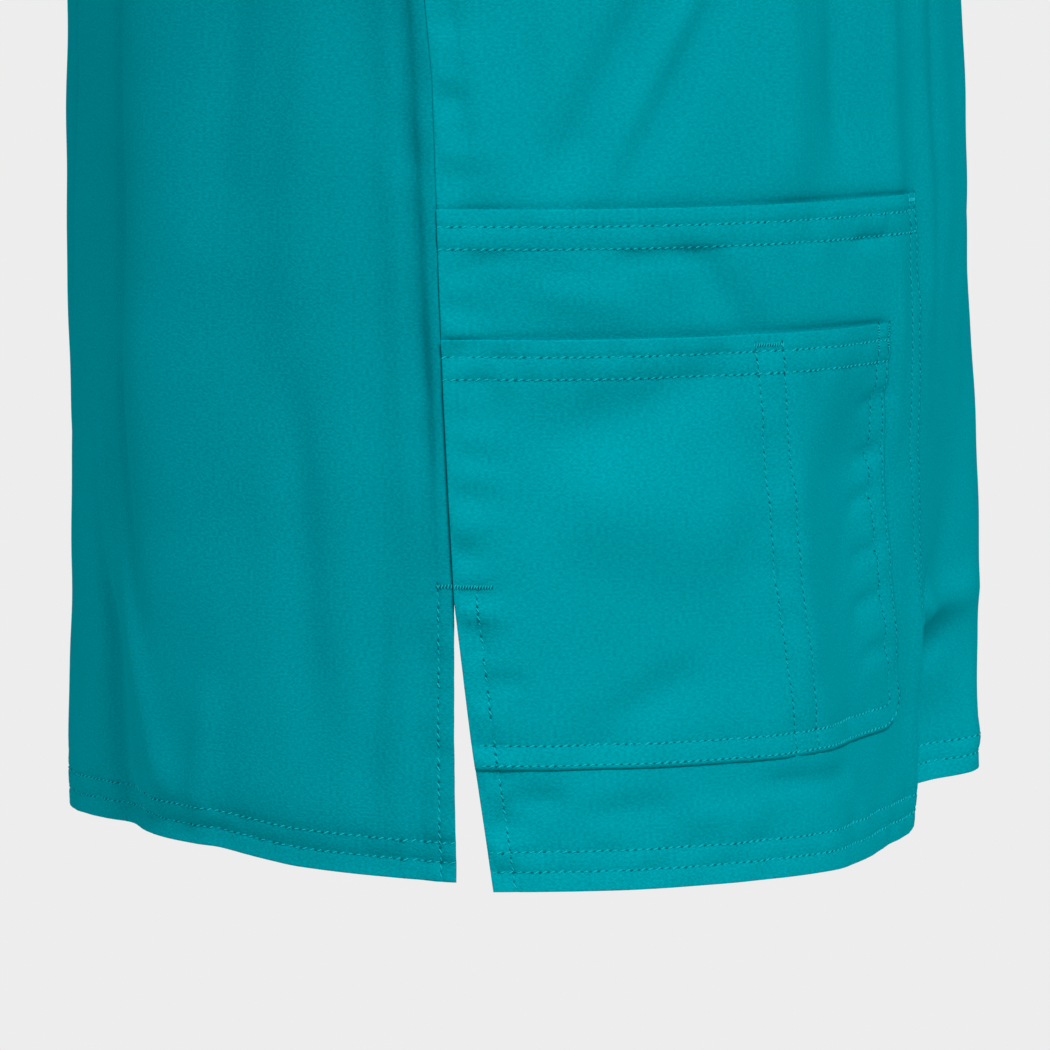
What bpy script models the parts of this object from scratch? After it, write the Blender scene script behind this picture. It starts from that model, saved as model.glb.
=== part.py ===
"""Short-sleeved V-neck scrub top in its worn shape: a hollow garment of woven cloth with nobody in it.

Frame: metres, +Z up. The front faces -Y and the wearer's right side is -X. The origin lies midway between
the neck ends of the two shoulder seams, where the garment hangs on its wearer's shoulders.

A place on the cloth is given by a turn, in degrees round the body from the side line (0) to the centre
front (90) or the centre back (-90), and by a level. Up to the underarm the level is the height above the
underarm in metres, so it is negative. From there to the top of the shoulder it runs from 0 to 1, as the
cloth rounds over.
"""

import math

import bmesh
import bpy
import numpy as np

# Driving dimensions, in metres.
BODY_LENGTH = 0.702  # neck end of the shoulder seam down to the hem
ARMHOLE_DEPTH = 0.215  # neck end of the shoulder seam down to the underarm
SLIT_LENGTH = 0.093  # side vent, from the hem up
SHOULDER_HALF_WIDTH = 0.205  # centre line to the sleeve end of the shoulder seam
SHOULDER_DROP = 0.045  # fall of the shoulder seam from the neck to the sleeve
NECK_HALF_WIDTH = 0.092  # centre line to the neck end of the shoulder seam
NECK_FRONT_DROP = 0.200  # depth of the panel's V
NECK_BACK_DROP = 0.022  # depth of the panel's back neck curve
BAND_WIDTH = 0.024  # neckband, seam to edge
BAND_FRONT_RISE = 0.036  # the band's V lies this far above the panel's V
BAND_BACK_RISE = 0.015  # the same at the centre back, where the band leans forward
SLEEVE_LENGTH = 0.205  # shoulder point to cuff, along the top of the arm
SLEEVE_DROP_ANGLE = math.radians(47)  # of the sleeve's axis below level
CUFF_RADIUS = 0.061
SLEEVE_START_PULL = 0.11  # how far the sleeve keeps its first direction, and its last one at the cuff
SLEEVE_END_PULL = 0.12
UNDERARM_LEAN = 0.55  # how much the sleeve turns to its own axis as it leaves the armhole
CLOTH = 0.0012  # wall of a panel
POCKET_CLOTH = 0.0010  # wall of a pocket
LAYER_GAP = 0.00035  # between a pocket and what it lies on
SEAM_GAP = 0.0004  # between two pieces at a seam
ARMHOLE_GAP = 0.0008  # between a sleeve and the body, whose walls meet at an angle
BAND_GAP = 0.0007  # the same for the neckband, whose rows cross the neck edge slantwise

POCKET_TOP_Z = -0.4872  # folded top edge of the large pocket
SMALL_POCKET_TOP_Z = -0.5278
SMALL_POCKET_BOTTOM_Z = -0.6628
POCKET_SHARE = 0.645  # of the half front's width, from the side seam
SMALL_POCKET_SHARE = 0.560

HEM_Z = -BODY_LENGTH
UNDERARM_Z = -ARMHOLE_DEPTH
SLIT_TOP_Z = HEM_Z + SLIT_LENGTH
ROUND_OVER = 2.0  # roundness of the cloth's profile over the shoulders, 2 is an ellipse
SHOULDER_SLOPE = SHOULDER_DROP / (SHOULDER_HALF_WIDTH - NECK_HALF_WIDTH)

# Rings of the body from the hem up. Depths run from the side line to the centre front and centre back.
BODY_RINGS = (
    # z, half_width, front_depth, back_depth, front_square, back_square (2 is an ellipse)
    (-0.702, 0.1900, 0.1543, 0.1538, 2.00, 2.30),
    (-0.600, 0.1890, 0.1529, 0.1526, 2.02, 2.30),
    (-0.500, 0.1875, 0.1477, 0.1516, 2.05, 2.30),
    (-0.420, 0.1860, 0.1446, 0.1509, 2.08, 2.30),
    (-0.340, 0.1870, 0.1405, 0.1440, 2.15, 2.30),
    (-0.265, 0.1880, 0.1362, 0.1315, 2.20, 2.30),
    (-0.215, 0.1910, 0.1350, 0.1285, 2.20, 2.30),
    (-0.100, 0.2080, 0.1340, 0.1280, 2.20, 2.30),
    (0.000, 0.2400, 0.1300, 0.1250, 2.20, 2.30),
)

# Side edges of the panels, as places behind the side line. They part below the top of the vents.
SIDE_EDGES = (
    # z, right_front, right_back, left_front, left_back
    (-0.702, 0.0100, 0.0216, 0.0150, 0.0292),
    (-0.655, 0.0168, 0.0222, 0.0205, 0.0285),
    (-0.609, 0.0222, 0.0222, 0.0262, 0.0262),
    (-0.547, 0.0250, 0.0250, 0.0270, 0.0270),
    (-0.447, 0.0288, 0.0288, 0.0290, 0.0290),
    (-0.420, 0.0313, 0.0313, 0.0300, 0.0300),
    (-0.215, 0.0300, 0.0300, 0.0300, 0.0300),
)

# Armhole edges above the underarm, as turns.
ARMHOLE = (
    # level, front_turn, back_turn
    (0.00, -13.0, -13.0),
    (0.04, 3.0, -19.0),
    (0.10, 14.0, -23.0),
    (0.20, 25.0, -27.0),
    (0.34, 31.0, -29.0),
    (0.52, 33.0, -30.0),
    (0.72, 34.0, -31.0),
    (0.88, 33.5, -33.0),
    (1.00, 32.6, -33.5),
)

# Long soft folds that run up from the hem. A negative depth is a valley.
FOLDS = (
    # side, turn, reach to the side line, reach to the centre, z of its top, depth
    (-1, 76.0, 37.0, 14.0, -0.470, -0.020),
    (-1, -60.0, 13.0, 15.0, -0.280, -0.004),
    (1, 74.0, 34.0, 16.0, -0.460, -0.016),
    (1, -52.0, 20.0, 18.0, -0.330, -0.006),
    (1, 24.0, 16.0, 16.0, -0.520, 0.003),
)

# The hem is not level: it rises where the cloth swings out.
HEM_RISE_FRONT = (
    # turn, rise
    (-15.0, 0.0000),
    (50.0, 0.0000),
    (66.0, 0.0010),
    (72.0, 0.0060),
    (90.0, 0.0135),
)
HEM_RISE_BACK = (
    (-90.0, 0.0045),
    (-70.0, 0.0085),
    (-56.0, 0.0095),
    (-38.0, 0.0090),
    (-26.0, 0.0055),
    (-8.0, 0.0030),
)

# Heights of the rows of points below the underarm, and levels of those above it.
ROW_HEIGHTS = (
    HEM_Z, -0.688, -0.676, SMALL_POCKET_BOTTOM_Z, -0.636, SLIT_TOP_Z, -0.582, -0.555, SMALL_POCKET_TOP_Z,
    -0.5075, POCKET_TOP_Z, -0.461, -0.435, -0.409, -0.383, -0.357, -0.331, -0.305, -0.281, -0.258, -0.236,
)
UPPER_LEVELS = (0.0, 0.025, 0.10, 0.17, 0.25, 0.33, 0.41, 0.49, 0.82, 0.91, 1.0)
BACK_NECK_PARTS = (0, 0.06, 0.20, 0.45, 0.72)  # rows that follow the back neck curve up to the shoulder

# Shares of a half panel's width, from its side edge to its centre line, that the columns of points take.
FRONT_COLUMNS = (0, 0.08, 0.16, 0.24, 0.32, 0.40, 0.48, SMALL_POCKET_SHARE, 0.6025, POCKET_SHARE,
                 0.69, 0.735, 0.78, 0.825, 0.87, 0.915, 0.96, 1)
BACK_COLUMNS = tuple(np.linspace(0, 1, 15))
FINE_STEPS = 61  # turns tried along a row to space its columns evenly

# Towards the hem the front swings out, and its columns lean towards the centre: the pockets' edges with them.
COLUMN_LEAN = (
    # share, what it gains at the hem on the right side
    (0.000, 0.000),
    (0.200, 0.030),
    (0.340, 0.058),
    (0.450, 0.100),
    (0.560, 0.150),
    (0.645, 0.155),
    (0.800, 0.100),
    (1.000, 0.000),
)
LEFT_LEAN = 0.6  # of the right side's
LEAN_TOP_Z = POCKET_TOP_Z  # the lean starts here
LEAN_CURVE = 1.6  # and grows downwards with this power

SLEEVE_STEPS = (0, 0.05, 0.14, 0.27, 0.41, 0.56, 0.71, 0.86, 1)
BAND_STEPS = (0, 0.5, 1)
RIGHT, LEFT = -1, 1

TEAL = (0.0, 0.31, 0.37, 1.0)
CLOTH_ROUGHNESS = 0.62
RIM_ANGLE = math.radians(50)  # edges sharper than this are cut edges of the cloth


def eased(rows, column, place):
    """One column of a table at a place between its rows, by a cubic that passes through every row."""
    places = np.array([row[0] for row in rows])
    values = np.array([row[column] for row in rows])
    slopes = np.gradient(values, places)
    i = int(np.clip(np.searchsorted(places, place, side="right") - 1, 0, len(places) - 2))
    span = places[i + 1] - places[i]
    t = float(np.clip((place - places[i]) / span, 0.0, 1.0))
    start = (1 + 2 * t) * (1 - t) ** 2 * values[i] + t * (1 - t) ** 2 * span * slopes[i]
    end = t * t * (3 - 2 * t) * values[i + 1] + t * t * (t - 1) * span * slopes[i + 1]
    return start + end


def straight(rows, column, place):
    """One column of a table at a place between its rows, by a straight line."""
    return float(np.interp(place, [row[0] for row in rows], [row[column] for row in rows]))


def signed_power(value, power):
    return math.copysign(abs(value) ** power, value)


def smooth_step(t):
    t = min(max(t, 0.0), 1.0)
    return t * t * (3 - 2 * t)


def height_share(level):
    """How far up from the underarm to the shoulder line a level above the underarm lies."""
    return math.sin(math.radians(90 * level)) ** (2 / ROUND_OVER)


def level_of_share(share):
    return math.degrees(math.asin(share ** (ROUND_OVER / 2))) / 90


def shoulder_z(x):
    """Height of the shoulder line at a distance from the centre line. It is level inside the neckband."""
    return -SHOULDER_SLOPE * (max(abs(x), NECK_HALF_WIDTH - BAND_WIDTH) - NECK_HALF_WIDTH)


def centre_share(drop):
    """Height share, on the centre line, of a point that lies a drop below the origin."""
    return (ARMHOLE_DEPTH - drop) / (ARMHOLE_DEPTH + shoulder_z(0))


def ring_sizes(turn, level):
    """Half width, depth and squareness of the body's ring at a level, on the front or the back."""
    z = UNDERARM_Z + level if level <= 0 else UNDERARM_Z * (1 - level)
    depth_column, square_column = (2, 4) if turn > 0 else (3, 5)
    return eased(BODY_RINGS, 1, z), eased(BODY_RINGS, depth_column, z), eased(BODY_RINGS, square_column, z)


def fold_depth(side, turn, z):
    total = 0.0
    for fold_side, centre, to_side, to_centre, top, depth in FOLDS:
        if fold_side != side:
            continue
        beyond = abs(turn) - abs(centre)
        off = beyond / (to_centre if beyond > 0 else to_side)
        if turn * centre > 0 and abs(off) < 1:
            total += depth * smooth_step((top - z) / (top - HEM_Z)) * (1 + math.cos(math.pi * off)) / 2
    return total


def cloth_point(side, panel, turn, level):
    """Point of the outer face of the cloth.

    The front goes on a little behind the side line, where its hem differs from the back's, so the panel
    is named.
    """
    width, depth, square = ring_sizes(turn, level)
    angle = math.radians(turn)
    x = width * signed_power(math.cos(angle), 2 / square)
    y = -depth * signed_power(math.sin(angle), 2 / square)
    if level > 0:
        y *= signed_power(math.cos(math.radians(90 * level)), 2 / ROUND_OVER)
        z = UNDERARM_Z + (shoulder_z(x) - UNDERARM_Z) * height_share(level)
        return np.array([side * x, y, z])
    z = UNDERARM_Z + level
    outward = np.array([x / width**2, y / depth**2])
    outward /= np.linalg.norm(outward)
    x, y = np.array([x, y]) + outward * fold_depth(side, turn, z)
    rise = straight(HEM_RISE_FRONT if panel == "front" else HEM_RISE_BACK, 1, turn)
    z += rise * smooth_step((SLIT_TOP_Z - z) / SLIT_LENGTH)
    return np.array([side * x, y, z])


def cloth_normal(side, panel, turn, level):
    """Outward direction of the cloth, taken from its form on both sides of the point, across seams too."""
    turn_step, level_step = 0.5, 0.004
    across = (cloth_point(side, panel, turn + turn_step, level)
              - cloth_point(side, panel, turn - turn_step, level))
    up = (cloth_point(side, panel, turn, level + level_step)
          - cloth_point(side, panel, turn, level - level_step))
    normal = np.cross(up, across) * side
    return normal / np.linalg.norm(normal)


def turn_behind_side(y, level):
    """Turn of a point that lies y behind the side line, below the underarm."""
    _, depth, square = ring_sizes(-1, level)
    return -math.degrees(math.asin((y / depth) ** (square / 2)))


def side_turn(side, panel, level):
    """Turn of a panel's side edge: its side seam or vent, and its armhole above the underarm."""
    if level > 0:
        return straight(ARMHOLE, 1 if panel == "front" else 2, level)
    column = (1 if side == RIGHT else 3) + (0 if panel == "front" else 1)
    apart = SEAM_GAP / 2 if panel == "back" else -SEAM_GAP / 2
    return turn_behind_side(straight(SIDE_EDGES, column, UNDERARM_Z + level) + apart, level)


def neck_place(panel, part, half_width, share_at_centre):
    """Distance from the centre line and height share of a neck edge, part of the way up from its lowest."""
    curve = 1.0 if panel == "front" else 0.45
    return half_width * part**curve, share_at_centre + part * (1 - share_at_centre)


def turn_at(panel, x, level):
    """Turn of the point of a level that lies x from the centre line."""
    width, _, square = ring_sizes(1 if panel == "front" else -1, level)
    turn = math.degrees(math.acos((x / width) ** (square / 2)))
    return turn if panel == "front" else -turn


NECK_SHARES = {"front": centre_share(NECK_FRONT_DROP), "back": centre_share(NECK_BACK_DROP)}
NECK_LEVELS = {panel: level_of_share(share) for panel, share in NECK_SHARES.items()}
BACK_NECK_LEVELS = [level_of_share(NECK_SHARES["back"] + part * (1 - NECK_SHARES["back"]))
                    for part in BACK_NECK_PARTS]
LEVELS = [z - UNDERARM_Z for z in ROW_HEIGHTS]
LEVELS += sorted((*UPPER_LEVELS, NECK_LEVELS["front"], *BACK_NECK_LEVELS))


def neck_part(panel, level):
    """How far up the neck edge a level lies, from 0 on the centre line to 1 at the shoulder seam."""
    lowest = NECK_SHARES[panel]
    return (height_share(level) - lowest) / (1 - lowest) if level > NECK_LEVELS[panel] else 0.0


def centre_turn(panel, level):
    """Turn of a panel's centre line, and of its neck edge above that."""
    if level <= NECK_LEVELS[panel]:
        return 90.0 if panel == "front" else -90.0
    x, _ = neck_place(panel, neck_part(panel, level), NECK_HALF_WIDTH, NECK_SHARES[panel])
    return turn_at(panel, x, level)


def leaning(side, share, level):
    """Share of the front's width that one of its columns takes at a level."""
    fallen = (LEAN_TOP_Z - UNDERARM_Z - level) / (LEAN_TOP_Z - HEM_Z)
    lean = eased(COLUMN_LEAN, 1, share) * min(max(fallen, 0.0), 1.0)**LEAN_CURVE
    return share + (lean if side == RIGHT else LEFT_LEAN * lean)


def half_panel(side, panel, columns):
    """Outer points of half a panel and their normals, a row for each level, from side edge to centre."""
    points, normals = [], []
    for level in LEVELS:
        turns = np.linspace(side_turn(side, panel, level), centre_turn(panel, level), FINE_STEPS)
        ring = np.array([cloth_point(side, panel, turn, level) for turn in turns])
        run = np.append(0.0, np.cumsum(np.linalg.norm(np.diff(ring, axis=0), axis=1)))
        shares = [leaning(side, share, level) if panel == "front" else share for share in columns]
        chosen = np.interp(np.array(shares) * run[-1], run, turns)
        row = np.array([cloth_point(side, panel, turn, level) for turn in chosen])
        if level == 1:
            row[:, 1] += SEAM_GAP / 2 * (-1 if panel == "front" else 1)
        points.append(row)
        normals.append(np.array([cloth_normal(side, panel, turn, level) for turn in chosen]))
    return np.array(points), np.array(normals)


def grid_normals(grid):
    """Normals of a tube's grid of points, whose rows are closed rings."""
    along = np.gradient(grid, axis=0)
    around = np.roll(grid, -1, axis=1) - np.roll(grid, 1, axis=1)
    normals = np.cross(around, along)
    normals /= np.linalg.norm(normals, axis=2, keepdims=True)
    faces_in = np.sum(normals * (grid - grid.mean(axis=1, keepdims=True))) < 0
    return -normals if faces_in else normals


def material(name, colour):
    """Dyed woven cloth as a plain shader."""
    cloth = bpy.data.materials.new(name)
    cloth.use_nodes = True
    shader = cloth.node_tree.nodes["Principled BSDF"]
    shader.inputs["Base Color"].default_value = colour
    shader.inputs["Roughness"].default_value = CLOTH_ROUGHNESS
    shader.inputs["Metallic"].default_value = 0.0
    return cloth


def cloth_wall(name, patches):
    """Closed wall between paired grids of outer and inner points.

    Patches that share points are sewn together. Each cell is cut along the same diagonal, so that a piece
    lies on another without crossing it.
    """
    bm = bmesh.new()
    outer_of, inner_of = {}, {}

    def vertex(outer, inner):
        key = tuple(np.round(outer, 6))
        if key not in outer_of:
            outer_of[key] = bm.verts.new(outer)
            inner_of[outer_of[key]] = bm.verts.new(inner)
        return outer_of[key]

    for outer, inner in patches:
        verts = [[vertex(*pair) for pair in zip(*rows)] for rows in zip(outer, inner)]
        for low, high in zip(verts, verts[1:]):
            for a, b, c, d in zip(low, low[1:], high[1:], high):
                for corners in ((a, b, c), (a, c, d)):
                    if len(set(corners)) == 3:
                        bm.faces.new(corners)
    bmesh.ops.recalc_face_normals(bm, faces=bm.faces)
    rim = [edge for edge in bm.edges if edge.is_boundary]
    for face in list(bm.faces):
        bm.faces.new([inner_of[v] for v in reversed(face.verts)])
    for edge in rim:
        a, b = edge.verts
        bm.faces.new((a, b, inner_of[b], inner_of[a]))
    bmesh.ops.recalc_face_normals(bm, faces=bm.faces)
    mesh = bpy.data.meshes.new(name)
    bm.to_mesh(mesh)
    bm.free()
    mesh.shade_smooth()
    mesh.set_sharp_from_angle(angle=RIM_ANGLE)
    mesh.materials.append(material(name + "_cloth", TEAL))
    piece = bpy.data.objects.new(name, mesh)
    top.objects.link(piece)
    return piece


def layer(points, normals, inner_at, thickness):
    """A pair of grids for a wall that starts some way out from the points given."""
    inner = points + normals * inner_at
    return inner + normals * thickness, inner


def pocket(name, side, share, top_z, bottom_z, inner_at):
    """A patch pocket on the front, from its side seam, made from the panel's own points moved outwards."""
    points, normals = halves["front", side]
    rows = slice(ROW_HEIGHTS.index(bottom_z), ROW_HEIGHTS.index(top_z) + 1)
    columns = slice(0, FRONT_COLUMNS.index(share) + 1)
    cloth_wall(name, [layer(points[rows, columns], normals[rows, columns], inner_at, POCKET_CLOTH)])


def armhole(side):
    """The armhole's closed loop, down the front from the shoulder and up the back: points and normals."""
    first = LEVELS.index(0.0)
    loop, facing = [], []
    for panel, order in (("front", -1), ("back", 1)):
        points, normals = (grid[first:, 0][::order] for grid in halves[panel, side])
        skip = slice(0, None) if panel == "front" else slice(1, -1)
        loop.extend(points[skip])
        facing.extend(normals[skip])
    return np.array(loop), np.array(facing)


def sleeve(name, side):
    """Short set-in sleeve: a tube from the armhole, whose outline it takes, to a round open cuff."""
    loop, facing = armhole(side)
    along = np.roll(loop, -1, axis=0) - np.roll(loop, 1, axis=0)
    away = np.cross(along, facing)
    away /= np.linalg.norm(away, axis=1, keepdims=True)
    away *= math.copysign(1, away[0][0] * side)
    start = loop + away * ARMHOLE_GAP

    axis = np.array([side * math.cos(SLEEVE_DROP_ANGLE), 0, -math.sin(SLEEVE_DROP_ANGLE)])
    upper = np.array([side * math.sin(SLEEVE_DROP_ANGLE), 0, math.cos(SLEEVE_DROP_ANGLE)])
    shoulder = loop[0]
    centre = shoulder + axis * SLEEVE_LENGTH - upper * CUFF_RADIUS
    lowest = LEVELS[::-1].index(0.0)
    round_share = np.array([i / lowest if i <= lowest else (len(loop) - i) / (len(loop) - lowest)
                            for i in range(len(loop))])
    angles = np.pi * round_share
    front_back = np.array([-1.0 if i <= lowest else 1.0 for i in range(len(loop))])
    cuff = (centre + CUFF_RADIUS * np.cos(angles)[:, None] * upper
            + (CUFF_RADIUS * np.sin(angles) * front_back)[:, None] * np.array([0, 1, 0]))

    lean = np.clip(away @ axis, 0, 1)[:, None]
    leaving = away * lean + axis * UNDERARM_LEAN
    leaving *= SLEEVE_START_PULL / np.linalg.norm(leaving, axis=1, keepdims=True)
    arriving = axis * SLEEVE_END_PULL
    rings = []
    for t in SLEEVE_STEPS:
        from_start = (1 + 2 * t) * (1 - t) ** 2 * start + t * (1 - t) ** 2 * leaving
        to_end = t * t * (3 - 2 * t) * cuff + t * t * (t - 1) * arriving
        rings.append(from_start + to_end)
    rings = np.array(rings)
    normals = grid_normals(rings)
    closed = [np.concatenate([grid, grid[:, :1]], axis=1) for grid in layer(rings, normals, -CLOTH, CLOTH)]
    cloth_wall(name, [closed])


def neckband(name):
    """Band of self fabric that goes on from the panels' neck edges, over the shoulders and to the V."""
    inner_shares = {"front": centre_share(NECK_FRONT_DROP - BAND_FRONT_RISE),
                    "back": centre_share(NECK_BACK_DROP - BAND_BACK_RISE)}
    patches = []
    for side in (RIGHT, LEFT):
        for panel in ("front", "back"):
            outer, inner = [], []
            for level in LEVELS:
                if level < NECK_LEVELS[panel]:
                    continue
                part = neck_part(panel, level)
                edges = [neck_place(panel, part, NECK_HALF_WIDTH, NECK_SHARES[panel]),
                         neck_place(panel, part, NECK_HALF_WIDTH - BAND_WIDTH, inner_shares[panel])]
                row, facing = [], []
                for step in BAND_STEPS:
                    x, share = (1 - step) * np.array(edges[0]) + step * np.array(edges[1])
                    band_level = level_of_share(min(share, 1.0))
                    turn = turn_at(panel, x, band_level)
                    row.append(cloth_point(side, panel, turn, band_level))
                    facing.append(cloth_normal(side, panel, turn, band_level))
                inwards = row[-1] - row[0]
                row[0] = row[0] + inwards / np.linalg.norm(inwards) * BAND_GAP
                outside, inside = layer(np.array(row), np.array(facing), -CLOTH, CLOTH)
                outer.append(outside)
                inner.append(inside)
            patches.append((outer, inner))
    cloth_wall(name, patches)


for old in list(bpy.data.objects):
    bpy.data.objects.remove(old)

top = bpy.data.collections.new("scrub_top")
bpy.context.scene.collection.children.link(top)

halves = {(panel, side): half_panel(side, panel, FRONT_COLUMNS if panel == "front" else BACK_COLUMNS)
          for panel in ("front", "back") for side in (RIGHT, LEFT)}

for panel in ("front", "back"):
    cloth_wall(panel + "_panel", [layer(*halves[panel, side], -CLOTH, CLOTH) for side in (RIGHT, LEFT)])
for side, side_name in ((RIGHT, "right"), (LEFT, "left")):
    pocket("pocket_large_" + side_name, side, POCKET_SHARE, POCKET_TOP_Z, HEM_Z, LAYER_GAP)
    sleeve("sleeve_" + side_name, side)
pocket("pocket_small_right", RIGHT, SMALL_POCKET_SHARE, SMALL_POCKET_TOP_Z, SMALL_POCKET_BOTTOM_Z,
       2 * LAYER_GAP + POCKET_CLOTH)
neckband("neckband")
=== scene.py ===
"""A short-sleeved V-neck scrub top with side vents and patch pockets, filled out as when it is worn.

Frame: metres, +Z up, front towards -Y, the wearer's right side at -X, origin between the neck ends of the
two shoulder seams. A place on the cloth is given by a level and by a distance from the side edge. Up to the
underarm the level is the height above the underarm in metres, so it is negative. Above it, it runs from 0 to
1 over the shoulder.
"""

import math

import bpy
import numpy as np
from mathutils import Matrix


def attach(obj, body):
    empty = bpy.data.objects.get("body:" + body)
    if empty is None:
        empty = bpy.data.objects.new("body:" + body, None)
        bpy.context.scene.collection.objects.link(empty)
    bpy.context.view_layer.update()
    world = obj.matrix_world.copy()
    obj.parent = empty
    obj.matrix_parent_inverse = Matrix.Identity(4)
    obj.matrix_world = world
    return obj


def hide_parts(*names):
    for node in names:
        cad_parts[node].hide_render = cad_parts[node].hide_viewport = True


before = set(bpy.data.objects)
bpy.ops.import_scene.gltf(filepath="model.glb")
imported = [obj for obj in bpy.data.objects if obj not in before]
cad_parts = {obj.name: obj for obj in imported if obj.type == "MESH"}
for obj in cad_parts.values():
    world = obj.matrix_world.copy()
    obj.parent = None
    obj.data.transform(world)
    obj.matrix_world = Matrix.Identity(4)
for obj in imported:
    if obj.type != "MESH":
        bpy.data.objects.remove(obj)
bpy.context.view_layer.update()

# ---------------------------------------------------------------------------------------------- front panel
# The front is one piece of smooth polyester-cotton twill, cut with a V for the neck and curved armholes. Its
# hem is turned in and held by two rows of topstitching, 6.4 mm apart, and the edge of each vent by one row.

BODY_LENGTH = 0.702
ARMHOLE_DEPTH = 0.215
SLIT_LENGTH = 0.093
SHOULDER_HALF_WIDTH = 0.205
SHOULDER_DROP = 0.045
NECK_HALF_WIDTH = 0.092
NECK_FRONT_DROP = 0.200
NECK_BACK_DROP = 0.022
BAND_WIDTH = 0.024
HEM_Z = -BODY_LENGTH
UNDERARM_Z = -ARMHOLE_DEPTH
SLIT_TOP_Z = HEM_Z + SLIT_LENGTH
SHOULDER_SLOPE = SHOULDER_DROP / (SHOULDER_HALF_WIDTH - NECK_HALF_WIDTH)
UNDERARM_HEIGHT = BODY_LENGTH - ARMHOLE_DEPTH  # above the hem
SHOULDER_RUN = 0.27  # cloth from the underarm's level over the chest to the shoulder line
RUN_AT_SHOULDER = 0.21  # metres of cloth to a whole level, close to the shoulder line
RIGHT, LEFT = -1, 1
SIDE_NAMES = {RIGHT: "right", LEFT: "left"}

CLOTH_WALL = 0.0009  # about two layers of the twill, as at a turned edge
SEAM_GAP = 0.00004  # between edges that are sewn together
EDGE_ROWS = (0.0, 0.00012, 0.0003, 0.0006)  # rows of points that round an edge over
NEAR_ROWS = (0.0015, 0.003, 0.0045)  # the rows of points next to those
STITCH_ROWS = (-0.0013, -0.0006, 0.0, 0.0006, 0.0013)  # rows of points across a line of stitches
MOUTH_ROWS = (0.0, 0.0006, 0.0012, 0.002)  # rows of points above a pocket's mouth, in the layer behind it
FINE_GRID, WIDE_GRID = 0.0034, 0.0062  # spacing of the rows below and above FINE_TOP
FINE_TOP = 0.29  # above the hem
TURN_DEPTH = 0.0135  # of a turned hem or pocket top
TURN_STEP = 0.0002  # by which its doubled cloth stands out
HEM_LINES = (0.0062, 0.0126)  # stitch lines above the hem
SLIT_LINE = {"front": 0.0072, "back": 0.0050}  # stitch line beside a vent

BODY_RINGS = (
    # z, half_width, front_depth, back_depth, front_square, back_square (2 is an ellipse)
    (-0.702, 0.1900, 0.1543, 0.1538, 2.00, 2.30),
    (-0.600, 0.1890, 0.1529, 0.1526, 2.02, 2.30),
    (-0.500, 0.1875, 0.1477, 0.1516, 2.05, 2.30),
    (-0.420, 0.1860, 0.1446, 0.1509, 2.08, 2.30),
    (-0.340, 0.1870, 0.1405, 0.1440, 2.15, 2.30),
    (-0.265, 0.1880, 0.1362, 0.1315, 2.20, 2.30),
    (-0.215, 0.1910, 0.1350, 0.1285, 2.20, 2.30),
    (-0.100, 0.2080, 0.1340, 0.1280, 2.20, 2.30),
    (0.000, 0.2400, 0.1300, 0.1250, 2.20, 2.30),
)
SIDE_EDGES = (
    # z, then how far behind the side line: right_front, right_back, left_front, left_back
    (-0.702, 0.0100, 0.0216, 0.0150, 0.0292),
    (-0.655, 0.0168, 0.0222, 0.0205, 0.0285),
    (-0.609, 0.0222, 0.0222, 0.0262, 0.0262),
    (-0.547, 0.0250, 0.0250, 0.0270, 0.0270),
    (-0.447, 0.0288, 0.0288, 0.0290, 0.0290),
    (-0.420, 0.0313, 0.0313, 0.0300, 0.0300),
    (-0.215, 0.0300, 0.0300, 0.0300, 0.0300),
)
ARMHOLE = (
    # level, front_turn, back_turn
    (0.00, -13.0, -13.0),
    (0.04, 3.0, -19.0),
    (0.10, 14.0, -23.0),
    (0.20, 25.0, -27.0),
    (0.34, 31.0, -29.0),
    (0.52, 33.0, -30.0),
    (0.72, 34.0, -31.0),
    (0.88, 33.5, -33.0),
    (1.00, 32.6, -33.5),
)
LONG_FOLDS = (
    # side, turn, reach to the side line, reach to the centre, z of its top, depth
    (-1, 76.0, 37.0, 14.0, -0.470, -0.020),
    (-1, -60.0, 13.0, 15.0, -0.280, -0.004),
    (1, 74.0, 34.0, 16.0, -0.460, -0.016),
    (1, -52.0, 20.0, 18.0, -0.330, -0.006),
    (1, 24.0, 16.0, 16.0, -0.520, 0.003),
)
HEM_RISE = {  # turn, rise
    "front": ((-15, 0.0), (50, 0.0), (66, 0.0010), (72, 0.0060), (90, 0.0135)),
    "back": ((-90, 0.0045), (-70, 0.0085), (-56, 0.0095), (-38, 0.0090), (-26, 0.0055), (-8, 0.0030)),
}
COLUMN_LEAN = (  # share of the front's width, what it gains at the hem on the right side
    (0.000, 0.000), (0.200, 0.030), (0.340, 0.058), (0.450, 0.100), (0.560, 0.150), (0.645, 0.155),
    (0.800, 0.100), (1.000, 0.000),
)
LEFT_LEAN = 0.6  # share of that gain on the left side
LEAN_CURVE = 1.6
POCKET_TOP_H = BODY_LENGTH - 0.4872  # above the hem
POCKET_SHARE = 0.645  # of the half front's width

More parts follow.
